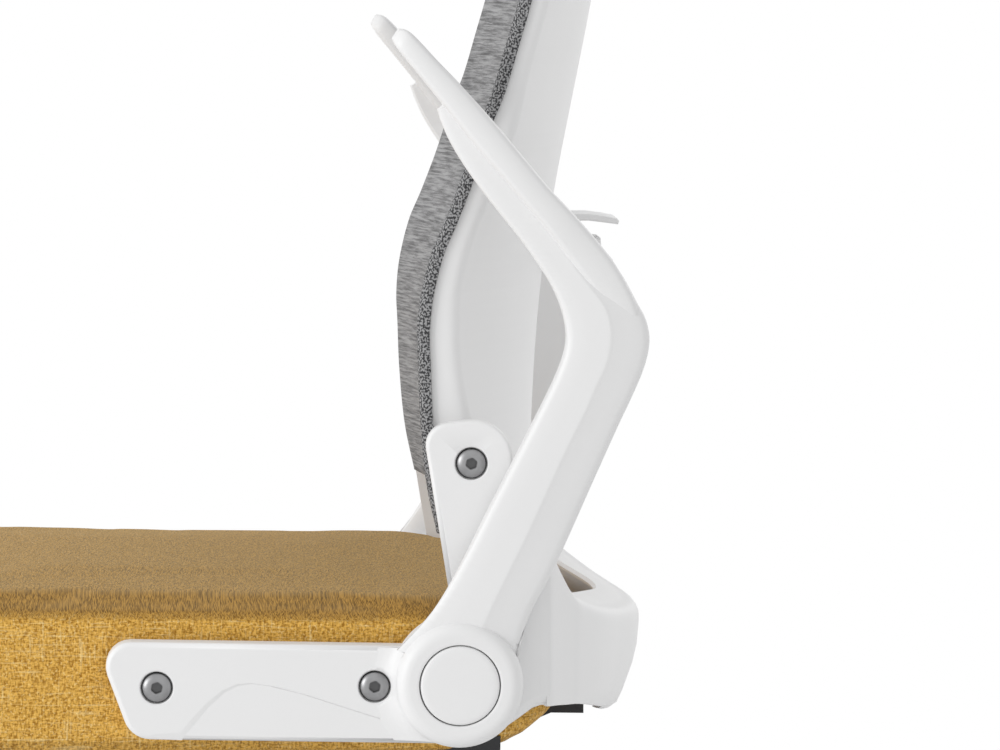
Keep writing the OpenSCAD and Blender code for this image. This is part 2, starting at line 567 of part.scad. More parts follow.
// Lumbar pad between mesh and shell, with a stem through the shell's slot to the tab
pad_zc = tab_z - 20;
pad_h = 92;
lumbar_t = 9;
lumbar_gap = 1;
function mesh_back(z) = mesh_front(0, z) + mesh_t;
pad_low_z = pad_zc - pad_h / 2 - lumbar_travel;
pad_high_z = pad_zc + pad_h / 2 + lumbar_travel;
function leaned(y, z) = y + (z - pad_zc) * tan(tab_lean);
lumbar_front = lumbar_gap + max(
    mesh_back(pad_low_z) - leaned(0, pad_low_z), mesh_back(pad_high_z) - leaned(0, pad_high_z));
lip = 3;
module lumbar_pad() color(white) at_hub() loft([for (i = [-4:4])
    let (t = i / 4, x = t * lumbar_w / 2, half = pad_h / 2 * sqrt(1 - 0.5 * t * t),
         y = lumbar_front - mesh_fall * pow(x / back_half, 2), z0 = pad_zc)
    [[x, leaned(y + lip, z0 - half), z0 - half], [x, leaned(y, z0 - half * 0.7), z0 - half * 0.7],
        [x, leaned(y, z0 + half * 0.7), z0 + half * 0.7], [x, leaned(y + lip, z0 + half), z0 + half],
        [x, leaned(y + lumbar_t, z0 + half), z0 + half], [x, leaned(y + lumbar_t, z0 - half), z0 - half]]]);
stem_half = slot_half - 1;
stem_low = tab_z - slider_h / 2 - 8;
handle_half = 26;
tab_t = 4;
tab_gap = 1.8;
module lumbar_tab() color(white) at_hub() {
    tail = bulge(tab_z, 0);
    stem_top = stem_low + slider_h;
    root = lumbar_front + lumbar_t + seat_gap;
    step = slider_h / 6;
    reach = tab_reach - tail;
    across(-stem_half, stem_half)
        polygon([[leaned(root, stem_low), stem_low], [tail + step, stem_low], [tail + step, stem_top],
            [leaned(root, stem_top), stem_top]]);
    across(-handle_half, handle_half)
        polygon([[bulge(stem_low - tab_t, 0) + tab_gap, stem_low - tab_t], [tail + 0.58 * reach, stem_low],
            [tail + 0.67 * reach, stem_low + 1.5 * step], [tail + 0.53 * reach, stem_low + 2 * step],
            [tail + 0.62 * reach, stem_low + 3 * step], [tail + 0.4 * reach, tab_z - tab_t], [tab_reach, tab_z - tab_t],
            [tab_reach, tab_z], [tail + 0.44 * reach, tab_z + 0.6 * tab_t],
            [bulge(tab_z + tab_t / 2, 0) + tab_gap, tab_z + tab_t / 2]]);
}

// Arm: centre line from the pivot up to the corner, round the bend and on to the tip
corner = [arm_corner_y, arm_corner_z];
tip = [-arm_tip_y, arm_tip_z];
low_dir = corner / norm(corner);
high_dir = (tip - corner) / norm(tip - corner);
bend = acos(low_dir * high_dir);
tangent = arm_bend_r * tan(bend / 2);
low_len = norm(corner) - tangent;
bend_len = arm_bend_r * bend * PI / 180;
high_len = norm(tip - corner) - tangent;
arm_len = low_len + bend_len + high_len;
low_angle = atan2(low_dir[1], low_dir[0]);
bend_centre = low_dir * low_len + arm_bend_r * turned(low_dir, 90);
function arm_angle(s) = low_angle + bend * min(1, max(0, (s - low_len) / bend_len));
function arm_point(s) = s < low_len ? low_dir * s
    : s < low_len + bend_len ? bend_centre + arm_bend_r * turned(low_dir, arm_angle(s) - low_angle - 90)
    : tip - high_dir * (arm_len - s);
// Width along the arm, as shares of its length and of its foot's width
width_shares = [[0, 1], [0.15, 1], [0.3, 0.93], [0.42, 0.88], [0.53, 0.78], [0.63, 0.68], [0.75, 0.58], [0.89, 0.5], [0.97, 0.42], [1, 0.24]];
function arm_width(s) = arm_w * lookup(s / arm_len, width_shares);
// Where the pad begins, and its thickness along the arm as shares of the length and of the pad
pad_start = 0.47;
pad_shares = [[pad_start, 0.25], [0.52, 0.6], [0.6, 1], [0.75, 1], [0.88, 0.95], [0.97, 0.8], [1, 0.6]];
function pad_depth(s) = s / arm_len < pad_start ? 0 : pad_t * lookup(s / arm_len, pad_shares);
arm_out = boss_x + move_gap + ring_t;
arm_body_out = arm_out - 1.6;
arm_in = arm_out - arm_t;
arm_root_in = boss_x + move_gap;
arm_edge = 4;
body_end = 0.93;
// A point beside the arm's line: across is positive on the outer, rear side
function beside(s, across, x) = let (p = arm_point(s) + across * turned([1, 0], arm_angle(s) - 90)) [x, p[0], p[1]];
function body_ring(s) =
    let (h = arm_width(s) / 2, outer = h - pad_depth(s) - (pad_depth(s) > 0 ? seat_gap : 0),
         inner_x = s < ring_r + 24 ? arm_root_in : mix(arm_root_in, arm_in, min(1, (s - ring_r - 24) / 22)),
         e = min(arm_edge, (outer + h) / 4), mid = (outer - h) / 2)
    [beside(s, -h + e, inner_x), beside(s, outer - e, inner_x), beside(s, outer, inner_x + e),
        beside(s, outer, arm_body_out - e), beside(s, outer - e, arm_body_out),
        beside(s, mid, arm_body_out + 1), beside(s, -h + e, arm_body_out), beside(s, -h, arm_body_out - e),
        beside(s, -h, inner_x + e)];
foot_s = 16;
body_steps = 26;
head_recess_r = 13;
bush_wall = 3;
bush_l = 6;
cap_t = 3.7;
module arm_body() color(white) at_hub() difference() {
    union() {
        loft([for (i = [0:body_steps]) body_ring(mix(foot_s, arm_len * body_end, i / body_steps))]);
        rod_x(ring_r, arm_root_in, arm_out - arm_edge);
        translate([arm_out - arm_edge, 0, 0]) rotate([0, 90, 0]) cylinder(r1 = ring_r, r2 = ring_r - arm_edge, h = arm_edge);
    }
    rod_x(pivot_d / 2 + bush_wall + seat_gap, arm_root_in - over, arm_out);
    rod_x(head_recess_r, arm_root_in + bush_l, arm_out);
    rod_x(cap_r + seat_gap, arm_out - cap_t, arm_out + over);
}
pad_steps = 16;
pad_corner_shares = [[-1, 0.5], [-0.75, 0.9], [-0.4, 1], [0.4, 1], [0.75, 0.9], [1, 0.5], [1, -0.4],
    [0.7, -0.9], [0, -1], [-0.7, -0.9], [-1, -0.4]];
pad_mid = (arm_in + arm_out) / 2;
function pad_ring(s, shrink) =
    let (h = arm_width(s) / 2, d = pad_depth(s) / 2 * shrink, mid = h - pad_depth(s) / 2,
         half = mix(arm_t / 2, pad_w / 2, min(1, (s / arm_len - pad_start) / 0.1)) * shrink)
    [for (k = pad_corner_shares) beside(s, mid + d * k[1], pad_mid + half * k[0])];
module arm_pad() color(white) at_hub()
    loft(concat([for (i = [0:pad_steps]) pad_ring(arm_len * mix(pad_start, 0.985, i / pad_steps), 1)],
        [pad_ring(arm_len, 0.7)]));
module hub_cap() color(white) at_hub() rod_x(cap_r, arm_out - cap_t + seat_gap, arm_out);
module pivot_bush() color([0.75, 0.72, 0.6]) at_hub() difference() {
    rod_x(pivot_d / 2 + bush_wall, arm_root_in, arm_root_in + bush_l);
    rod_x(pivot_d / 2 + run_gap, arm_root_in - over, arm_root_in + bush_l + over);
}
pivot_head_r = 11;
module pivot_bolt() color(steel) at_hub() {
    rod_x(pivot_d / 2, bracket_x + over, arm_root_in + bush_l + move_gap + over);
    rod_x(pivot_head_r, arm_root_in + bush_l + move_gap, arm_out - cap_t - move_gap);
}
module left_arm_body() on_side(1) arm_body();
module left_arm_pad() on_side(1) arm_pad();
module left_hub_cap() on_side(1) hub_cap();
module left_pivot_bush() on_side(1) pivot_bush();
module left_pivot_bolt() on_side(1) pivot_bolt();
module right_arm_body() on_side(-1) arm_body();
module right_arm_pad() on_side(-1) arm_pad();
module right_hub_cap() on_side(-1) hub_cap();
module right_pivot_bush() on_side(-1) pivot_bush();
module right_pivot_bolt() on_side(-1) pivot_bolt();

// Mechanism: a plate under the pan, with two ears on the tilt pin
plate_t = 5;
plate_top = pan_low - foot_h;
ear_t = 5;
ear_in = housing_half + move_gap;
pin_y = -hub_back - pin_ahead;
ear_r = 12;
module mechanism_plate() color(black) at_hub() difference() {
    union() {
        translate([-plate_half_x, -plate_front, plate_top - plate_t])
            cube([2 * plate_half_x, plate_front - plate_rear, plate_t]);
        for (side = [-1, 1]) on_side(side) {
            translate([0, pin_y, -pin_below]) rod_x(ear_r, ear_in, ear_in + ear_t);
            translate([ear_in, pin_y - ear_r, -pin_below]) cube([ear_t, 2 * ear_r, plate_top - plate_t / 2 + pin_below]);
        }
    }
    translate([0, pin_y, -pin_below]) rod_x(pin_d / 2 + seat_gap, -plate_half_x - over, plate_half_x + over);
    translate([0, 0, plate_top - plate_t - over]) plate_places() cylinder(d = plate_bolt_d + 4 * seat_gap, h = plate_t + 2 * over);
}
module plate_bolts() color(steel) at_hub() translate([0, 0, plate_top - plate_t]) plate_places() {
    cylinder(d = plate_bolt_d, h = plate_t + insert_l - over);
    translate([0, 0, -3]) cylinder(d = plate_bolt_d * 1.8, h = 3);
}
pin_over = 4;
module tilt_pin() color(steel) at_hub() translate([0, pin_y, -pin_below])
    rod_x(pin_d / 2, -ear_in - ear_t - pin_over, ear_in + ear_t + pin_over);

// Housing: a box round the gas cylinder's top and the spring, its top falling to the rear
housing_front = hub_back + 84;
housing_rear = hub_back - 50;
housing_low = -112;
housing_nose = -pin_below + 12;
gas_top = -84;
spring_d = 24;
spring_z = -94;
spring_l = 52;
spring_front = -housing_front + 6;
knob_screw_d = 8;
lever_d = 8;
lever_y = -hub_back + 30;
lever_z = -98;
housing_outline = [[-housing_front, housing_low + 8], [-housing_front, housing_nose - 10], [-housing_front + 16, housing_nose],
    [pin_y + 8, housing_nose], [-housing_rear, housing_nose - 24], [-housing_rear, housing_low + 14], [-housing_rear - 24, housing_low], [-housing_front + 14, housing_low]];
module mechanism_housing() color(black) at_hub() difference() {
    across(-housing_half, housing_half) polygon(housing_outline);
    translate([0, pin_y, -pin_below]) rod_x(pin_d / 2 + run_gap, -housing_half - over, housing_half + over);
    translate([0, -hub_back, housing_low - over]) cylinder(d = gas_d + 4 * seat_gap, h = gas_top - housing_low + over);
    translate([0, spring_front, spring_z]) rotate([-90, 0, 0]) cylinder(d = spring_d + 2 * move_gap, h = spring_l + 2 * move_gap);
    translate([0, -housing_front - over, spring_z]) rotate([-90, 0, 0]) cylinder(d = knob_screw_d + 2 * run_gap, h = 30);
    translate([0, lever_y, lever_z]) rod_x(lever_d / 2 + run_gap, -housing_half - over, -housing_half + 30);
}
module tension_spring() color(steel) at_hub() translate([0, spring_front + move_gap, spring_z]) rotate([-90, 0, 0])
    difference() {
        cylinder(d = spring_d, h = spring_l);
        translate([0, 0, -over]) cylinder(d = knob_screw_d + 4, h = spring_l + 2 * over);
    }
knob_d = 42;
knob_l = 26;
module tension_knob() color(black) at_hub() translate([0, -housing_front - move_gap, spring_z]) rotate([90, 0, 0]) {
    difference() {
        cylinder(d = knob_d, h = knob_l);
        for (k = [0:7]) rotate(k * 45) translate([knob_d / 2 + 3, 0, 4]) cylinder(r = 5.4, h = knob_l);
    }
    translate([0, 0, -10]) cylinder(d = knob_screw_d, h = 10 + over);
}
paddle_l = 46;
paddle_w = 26;
paddle_t = 5;
module height_lever() color(black) at_hub() translate([0, lever_y, lever_z]) {
    rod_x(lever_d / 2, -housing_half - lever_reach, -housing_half + 26);
    translate([-housing_half - lever_reach - paddle_l, -paddle_w / 2, -paddle_t / 2 + 1]) cube([paddle_l + 6, paddle_w, paddle_t]);
}

// Column: tube in the base, guide, gas cylinder, and the rod on its thrust bearing
tube_wall = 3;
tube_low = 70;
bearing_h = 6;
rod_d = 10;
guide_h = 60;
flange_h = 4;
gas_low = 132;
module on_column() translate([0, col_y, 0]) children();
gas_top_z = hub_z + gas_top;
module gas_cylinder() color(steel) on_column() difference() {
    translate([0, 0, gas_low]) cylinder(d = gas_d, h = gas_top_z - gas_low);
    translate([0, 0, gas_low - over]) cylinder(d = rod_d + 2 * run_gap, h = gas_top_z - gas_low - 12);
}
module piston_rod() color(steel) on_column() {
    translate([0, 0, tube_low + 2]) cylinder(d = rod_d, h = gas_top_z - 62 - tube_low);
    translate([0, 0, tube_low + tube_wall + bearing_h + move_gap]) cylinder(d = rod_d * 2, h = 3);
}
module thrust_bearing() color(steel) on_column() translate([0, 0, tube_low + tube_wall]) difference() {
    cylinder(d = rod_d * 2.4, h = bearing_h);
    translate([0, 0, -over]) cylinder(d = rod_d + 2 * run_gap, h = bearing_h + 2 * over);
}
module column_guide() color(black) on_column() difference() {
    union() {
        translate([0, 0, tube_top - guide_h]) cylinder(d = tube_d - 2 * tube_wall - 2 * seat_gap, h = guide_h);
        translate([0, 0, tube_top]) cylinder(d = tube_d, h = flange_h);
    }
    translate([0, 0, tube_top - guide_h - over]) cylinder(d = gas_d + 2 * run_gap, h = guide_h + flange_h + 2 * over);
}
module column_tube() color(black) on_column() difference() {
    translate([0, 0, tube_low]) cylinder(d = tube_d, h = tube_top - tube_low);
    translate([0, 0, tube_low + tube_wall]) cylinder(d = tube_d - 2 * tube_wall, h = tube_top);
    translate([0, 0, tube_low - over]) cylinder(d = rod_d + 2 * run_gap, h = tube_wall + 2 * over);
}

// Star base: five tapered legs on a hub, a socket at each leg's end
leg_end_r = 17;
leg_end_h = 26;
base_low = tube_low;
base_hub_r = 36;
stem_d = 11;
stem_l = 22;
module to_leg(k) on_column() rotate(90 + leg_step * k) translate([base_r, 0, 0]) children();
module star_base() color(white) difference() {
    union() {
        on_column() translate([0, 0, base_low]) cylinder(r = base_hub_r, h = base_hub_h);
        on_column() for (k = [0:legs - 1]) rotate(90 + leg_step * k) hull() {
            translate([base_hub_r - 14, 0, base_low + 4]) cylinder(r = 20, h = base_hub_h - 12, $fn = 24);
            translate([base_r, 0, leg_z + 6]) cylinder(r = leg_end_r - 1, h = leg_end_h - 6, $fn = 24);
        }
        for (k = [0:legs - 1]) to_leg(k) translate([0, 0, leg_z]) cylinder(r = leg_end_r, h = leg_end_h);
    }
    on_column() translate([0, 0, base_low - over]) cylinder(d = tube_d + 2 * seat_gap, h = base_hub_h + 2 * over);
    for (k = [0:legs - 1]) to_leg(k) translate([0, 0, leg_z - over]) cylinder(d = stem_d + 2 * run_gap, h = stem_l + over);
}

// Twin-wheel caster, drawn with its stem on the axis and its axle outward along +x
axle_d = 6;
fork_top = leg_z - move_gap;
module fork() color(black) {
    difference() {
        union() {
            intersection() {
                translate([caster_trail, fork_half, wheel_r]) rotate([90, 0, 0]) cylinder(r = hood_r, h = 2 * fork_half);
                translate([-wheel_d, -wheel_d, wheel_r - 7]) cube(2 * wheel_d);
            }
            translate([0, 0, wheel_r + 8]) cylinder(r = 11, h = fork_top - wheel_r - 8);
        }
        for (side = [-1, 1]) translate([caster_trail, side > 0 ? wheel_in - move_gap : -wheel_out - 3, wheel_r]) rotate([-90, 0, 0])
            cylinder(r = wheel_r + hood_gap, h = wheel_out - wheel_in + 3 + move_gap);
        translate([caster_trail, wheel_out, wheel_r]) rotate([90, 0, 0]) cylinder(d = axle_d + 2 * seat_gap, h = 2 * wheel_out);
    }
    translate([0, 0, fork_top - over]) cylinder(d = stem_d, h = stem_l - 2 * over);
}
module axle() color(steel) translate([caster_trail, wheel_out - 2, wheel_r]) rotate([90, 0, 0])
    cylinder(d = axle_d, h = 2 * wheel_out - 4);
module wheel() color(black) translate([caster_trail, wheel_in, wheel_r]) rotate([-90, 0, 0]) difference() {
    union() {
        translate([0, 0, 2]) cylinder(r = wheel_r, h = wheel_w - 4);
        cylinder(r1 = wheel_r - 2, r2 = wheel_r, h = 2);
        translate([0, 0, wheel_w - 2]) cylinder(r1 = wheel_r, r2 = wheel_r - 2, h = 2);
    }
    translate([0, 0, wheel_w - 3]) difference() {
        cylinder(r = wheel_r - 7, h = 3 + over);
        translate([0, 0, -over]) cylinder(r = axle_d + 2, h = 6);
    }
    translate([0, 0, -over]) cylinder(d = axle_d + 2 * run_gap, h = wheel_w - 1);
}
module caster_fork(k) to_leg(k) fork();
module caster_axle(k) to_leg(k) axle();
module caster_wheel_a(k) to_leg(k) wheel();
module caster_wheel_b(k) to_leg(k) mirror([0, 1, 0]) wheel();

seat_cushion();
seat_pan();
seat_undershell();
seat_inserts();
left_side_bracket();
right_side_bracket();
seat_bolts();
back_bolts();
rear_band();
band_screws();
back_shell();
back_frame();
back_mesh();
lumbar_pad();
lumbar_tab();
left_arm_body();
left_arm_pad();
left_hub_cap();
left_pivot_bush();
left_pivot_bolt();
right_arm_body();
right_arm_pad();
right_hub_cap();
right_pivot_bush();
right_pivot_bolt();
mechanism_plate();
plate_bolts();
mechanism_housing();
tilt_pin();
tension_spring();
tension_knob();
height_lever();
gas_cylinder();
piston_rod();
thrust_bearing();
column_guide();
column_tube();
star_base();
caster_fork(0);  // caster_1_fork
caster_axle(0);  // caster_1_axle
caster_wheel_a(0);  // caster_1_wheel_a
caster_wheel_b(0);  // caster_1_wheel_b
caster_fork(1);  // caster_2_fork
caster_axle(1);  // caster_2_axle
caster_wheel_a(1);  // caster_2_wheel_a
caster_wheel_b(1);  // caster_2_wheel_b
caster_fork(2);  // caster_3_fork
caster_axle(2);  // caster_3_axle
caster_wheel_a(2);  // caster_3_wheel_a
caster_wheel_b(2);  // caster_3_wheel_b
caster_fork(3);  // caster_4_fork
caster_axle(3);  // caster_4_axle
caster_wheel_a(3);  // caster_4_wheel_a
caster_wheel_b(3);  // caster_4_wheel_b
caster_fork(4);  // caster_5_fork
caster_axle(4);  // caster_5_axle
caster_wheel_a(4);  // caster_5_wheel_a
caster_wheel_b(4);  // caster_5_wheel_b
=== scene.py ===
"""Swivel task chair with flip-up arms: the looks of each piece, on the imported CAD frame."""
import math

import bmesh
import bpy
from mathutils import Matrix, Vector


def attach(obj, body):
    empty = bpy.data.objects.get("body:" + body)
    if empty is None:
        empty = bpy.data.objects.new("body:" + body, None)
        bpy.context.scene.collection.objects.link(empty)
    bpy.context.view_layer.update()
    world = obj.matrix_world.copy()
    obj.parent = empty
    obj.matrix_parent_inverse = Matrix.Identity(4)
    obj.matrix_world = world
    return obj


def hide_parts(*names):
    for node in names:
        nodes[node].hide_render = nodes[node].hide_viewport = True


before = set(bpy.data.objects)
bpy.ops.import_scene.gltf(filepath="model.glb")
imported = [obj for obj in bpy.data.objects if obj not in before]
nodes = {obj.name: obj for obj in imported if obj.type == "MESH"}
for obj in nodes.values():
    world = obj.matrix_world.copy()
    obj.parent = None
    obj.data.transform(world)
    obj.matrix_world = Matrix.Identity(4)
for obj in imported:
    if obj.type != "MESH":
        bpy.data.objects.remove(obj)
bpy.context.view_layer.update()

# The studio: a pale floor and a white surround, one large soft lamp ahead of the chair and
# a weaker one behind it. The camera stands to the sitter's left, level with the back, and
# looks at the rear corner of the seat from far off.
HUB = Vector((0, 0.11914, 0.418))


def from_hub(x, y, z):
    """A place given in millimetres from the axis of the arm hubs, in the frame's metres."""
    return HUB + Vector((x, y, z)) / 1000


camera = bpy.data.objects.new("camera", bpy.data.cameras.new("camera"))
bpy.context.scene.collection.objects.link(camera)
camera.data.lens = 225.5
camera.data.sensor_width = 36
camera.data.clip_end = 60
camera.location = from_hub(4030, -144, 464)
camera.rotation_euler = (from_hub(280, 24, 188) - camera.location).to_track_quat("-Z", "Y").to_euler()
bpy.context.scene.camera = camera
bpy.context.scene.view_settings.view_transform = "Standard"


def lamp(name, place, aim, size, power):
    """A square soft lamp at a place, turned towards its aim."""
    light = bpy.data.lights.new(name, "AREA")
    light.shape, light.size, light.energy = "SQUARE", size, power
    held = bpy.data.objects.new(name, light)
    bpy.context.scene.collection.objects.link(held)
    held.location = place
    held.rotation_euler = (Vector(aim) - Vector(place)).to_track_quat("-Z", "Y").to_euler()


lamp("key_lamp", (2.1, -3.5, 1.6), (0, 0.1, 0.6), 2.0, 76)
lamp("fill_lamp", (-2.6, 2.2, 2.2), (0, 0.1, 0.5), 2.6, 18)


class Wire:
    """One output of a shader node, which takes part in sums as a number does."""

    def __init__(self, finish, socket):
        self.finish, self.socket = finish, socket

    def into(self, operation, *others):
        return self.finish.add("Math", {"operation": operation}, dict(enumerate((self, *others))))

    def __add__(self, other):
        return self.into("ADD", other)

    __radd__ = __add__

    def __mul__(self, other):
        return self.into("MULTIPLY", other)

    __rmul__ = __mul__

    def __sub__(self, other):
        return self.into("SUBTRACT", other)

    def __rsub__(self, other):
        return self.finish.add("Math", {"operation": "SUBTRACT"}, {0: other, 1: self})

    def __gt__(self, other):
        return self.into("GREATER_THAN", other)

    def step(self, low, high):
        """0 below low and 1 above high, with a soft rise between them."""
        span = {"Value": self, "From Min": low, "From Max": high}
        return self.finish.add("MapRange", {"interpolation_type": "SMOOTHSTEP"}, span)


class Finish:
    """A material: a Principled shader, and the nodes that feed it."""

    def __init__(self, name, **even):
        self.material = bpy.data.materials.new(name)
        self.material.use_nodes = True
        self.tree = self.material.node_tree
        self.shader = self.tree.nodes["Principled BSDF"]
        for socket, value in even.items():
            self.shader.inputs[socket.replace("_", " ")].default_value = value

    def add(self, kind, settings, sockets, out=0):
        """A node of a kind, with its settings first and then its sockets, and one of its outputs."""
        node = self.tree.nodes.new("ShaderNode" + kind)
        for name, value in settings.items():
            if name == "stops":
                for k, (place, shade) in enumerate(value):
                    stop = node.color_ramp.elements[k] if k < 2 else node.color_ramp.elements.new(place)
                    stop.position, stop.color = place, (*shade, 1)
            else:
                setattr(node, name, value)
        for name, value in sockets.items():
            self.feed(node.inputs[name], value)
        return Wire(self, node.outputs[out])

    def feed(self, socket, value):
        if isinstance(value, Wire):
            self.tree.links.new(value.socket, socket)
        else:
            socket.default_value = value

    def give(self, **fed):
        """Feeds sockets of the shader with wires."""
        for socket, value in fed.items():
            self.feed(self.shader.inputs[socket.replace("_", " ")], value)
        return self.material

    def place(self):
        """A point's place in the piece's own coordinates."""
        return self.add("TexCoord", {}, {}, out="Object")

    def axes(self, wire):
        """The three numbers of a vector."""
        split = self.add("SeparateXYZ", {}, {"Vector": wire})
        return [Wire(self, split.socket.node.outputs[k]) for k in range(3)]

    def joined(self, x, y, z):
        """A vector from three numbers."""
        return self.add("CombineXYZ", {}, {"X": x, "Y": y, "Z": z})

    def noise(self, vector, scale, detail=2.0, roughness=0.5):
        return self.add(
            "TexNoise", {}, {"Vector": vector, "Scale": scale, "Detail": detail, "Roughness": roughness})

    def mix(self, share, a, b):
        """Colour a where share is 0, and colour b where it is 1."""
        node = self.add("Mix", {"data_type": "RGBA"}, {"Factor": share}).socket.node
        for socket, value in zip([s for s in node.inputs if s.type == "RGBA"], (a, b)):
            self.feed(socket, value if isinstance(value, Wire) else (*value, 1))
        return Wire(self, next(s for s in node.outputs if s.type == "RGBA"))

    def bump(self, height, depth, strength=1.0):
        """A normal that stands for a relief of this height times the depth in metres."""
        return self.add("Bump", {}, {"Height": height, "Distance": depth, "Strength": strength})


# The surround lights the chair a little less than it shows.
SURROUND_LIGHT, SURROUND_SEEN = 0.74, 1.0
world = bpy.data.worlds.new("surround")
bpy.context.scene.world = world
world.use_nodes = True
surround = world.node_tree
rays = surround.nodes.new("ShaderNodeLightPath")
looked_at = rays.outputs["Is Camera Ray"]
for kind in ("Is Glossy Ray", "Is Transmission Ray"):
    either = surround.nodes.new("ShaderNodeMath")
    either.operation = "MAXIMUM"
    surround.links.new(looked_at, either.inputs[0])
    surround.links.new(rays.outputs[kind], either.inputs[1])
    looked_at = either.outputs[0]
level = surround.nodes.new("ShaderNodeMapRange")
level.inputs["To Min"].default_value = SURROUND_LIGHT
level.inputs["To Max"].default_value = SURROUND_SEEN
surround.links.new(looked_at, level.inputs["Value"])
surround.links.new(level.outputs[0], surround.nodes["Background"].inputs["Strength"])
surround.nodes["Background"].inputs["Color"].default_value = (1, 1, 1, 1)


def made(name, bm, material, body=None, stands_for=()):
    """The finished piece: its mesh as an object, riding on a body, in place of CAD nodes."""
    mesh = bpy.data.meshes.new(name)
    bm.to_mesh(mesh)
    bm.free()
    piece = bpy.data.objects.new(name, mesh)
    bpy.context.scene.collection.objects.link(piece)
    mesh.materials.append(material)
    if body:
        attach(piece, body)
    if stands_for:
        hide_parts(*stands_for)
    return piece


FLOOR_RADIUS = 2.3
floor_paint = Finish("floor_paint", Roughness=0.8)
floor_tone = floor_paint.noise(floor_paint.place(), 3.0)
floor_paint.give(Base_Color=floor_paint.mix(floor_tone, (0.86, 0.86, 0.86), (0.9, 0.9, 0.9)))
bm = bmesh.new()
bmesh.ops.create_circle(bm, cap_ends=True, segments=96, radius=FLOOR_RADIUS)
made("floor", bm, floor_paint.material)


def dressed(finish, *names):
    """Gives CAD nodes, whose shapes stay as they are, a finish."""
    for name in names:
        nodes[name].material_slots[0].material = finish


# Seat cushion: moulded foam in a mustard woven cover, drawn tight round the seat pan. The cover's
# side band meets the top at a soft edge, and the top falls away a little towards the rear.
# It swells by a cloth simulation, and is held where it rests on the pan and lies between brackets.
SEAT_HALF, SEAT_FRONT, SEAT_REAR = 238, -396, 80
SEAT_TOP, SEAT_LOW, PAN_TOP, PAN_INSET = 43, -49.5, -25.6, 13.6
FRONT_CORNER, REAR_CORNER = 70, 110
# the top's shape from front to rear: shares of the depth, and rises in shares of SEAT_TOP
TOP_FALL = ((-1, -0.06), (-0.75, 0.04), (-0.45, 0.08), (-0.2, -0.03), (0.02, -0.15), (0.23, -0.32))
# the underside sweeps up to the rear: places along and heights from the hub
SWEEP = ((10, -60), (30, -46.5), (42, -40), (56, -30), (65, -20), (71, -11), (76, -2), (81, 10), (90, 40))
SWEEP_BLEND = 7


def along(shares, t):
    """A smooth curve through a table of places and values."""
    if t <= shares[0][0]:
        return shares[0][1]
    if t >= shares[-1][0]:
        return shares[-1][1]
    k = next(k for k in range(len(shares) - 1) if t <= shares[k + 1][0])
    (x0, y0), (x1, y1) = shares[k], shares[k + 1]
    before, after = shares[max(k - 1, 0)], shares[min(k + 2, len(shares) - 1)]
    slope0 = (y1 - before[1]) / (x1 - before[0])
    slope1 = (after[1] - y0) / (after[0] - x0)
    u, span = (t - x0) / (x1 - x0), x1 - x0
    return (y0 * (1 + 2 * u) * (1 - u) ** 2 + slope0 * span * u * (1 - u) ** 2
            + y1 * u * u * (3 - 2 * u) + slope1 * span * u * u * (u - 1))


def outward(bm):
    """Turns the faces of each separate form outwards, by the sign of the volume they enclose."""
    bmesh.ops.recalc_face_normals(bm, faces=bm.faces)
    seen = set()
    for start in bm.faces:
        if start in seen:
            continue
        seen.add(start)
        form, volume = [start], 0
        for face in form:
            first, *others = [v.co for v in face.verts]
            volume += sum(first.dot(a.cross(b)) for a, b in zip(others, others[1:]))
            for edge in face.edges:
                for near in edge.link_faces:
                    if near not in seen:
                        seen.add(near)
                        form.append(near)
        if volume < 0:
            bmesh.ops.reverse_faces(bm, faces=form)


def carried_through(bm, sections, shift=from_hub):
    """A closed form drawn out from its first section through all the others."""
    face = bm.faces.new([bm.verts.new(shift(*p)) for p in sections[0]])
    index = {v: k for k, v in enumerate(face.verts)}
    for section in sections[1:]:
        grown = bmesh.ops.extrude_face_region(bm, geom=[face])["geom"]
        face = next(g for g in grown if isinstance(g, bmesh.types.BMFace))
        following = {}
        for v in face.verts:
            before = next(e.other_vert(v) for e in v.link_edges if e.other_vert(v) in index)
            following[v] = index[before]
            v.co = shift(*section[following[v]])
        index = following
    outward(bm)


def smoothed(bm, degrees=32):
    """Smooth faces, with the edges that are sharper than the angle left crisp."""
    for f in bm.faces:
        f.smooth = True
    for e in bm.edges:
        e.smooth = len(e.link_faces) == 2 and e.calc_face_angle(0) < math.radians(degrees)


def seat_outline(inset, z, fall):
    """The cushion's outline from above, pulled in by a margin."""
    half, front, rear = SEAT_HALF - inset, SEAT_FRONT + inset, SEAT_REAR - inset
    r_front, r_rear = max(FRONT_CORNER - inset, 1), max(REAR_CORNER - inset, 1)
    turn = [math.radians(90 * k / 8) for k in range(9)]
    points = [(-half + r_front * (1 - math.cos(a)), front + r_front * (1 - math.sin(a))) for a in turn]
    points += [(half - r_front * (1 - math.sin(a)), front + r_front * (1 - math.cos(a))) for a in turn]
    points += [(half - r_rear * (1 - math.cos(a)), rear - r_rear * (1 - math.sin(a))) for a in turn]
    points += [(-half + r_rear * (1 - math.sin(a)), rear - r_rear * (1 - math.cos(a))) for a in turn]
    placed = []
    for x, y in points:
        up, floor = z + (SEAT_TOP * along(TOP_FALL, -y / SEAT_FRONT) if fall else 0), along(SWEEP, y)
        swept = y > SWEEP[0][0] and not fall
        placed.append((x, y, (up + floor + math.hypot(up - floor, SWEEP_BLEND)) / 2 if swept else up))
    return placed


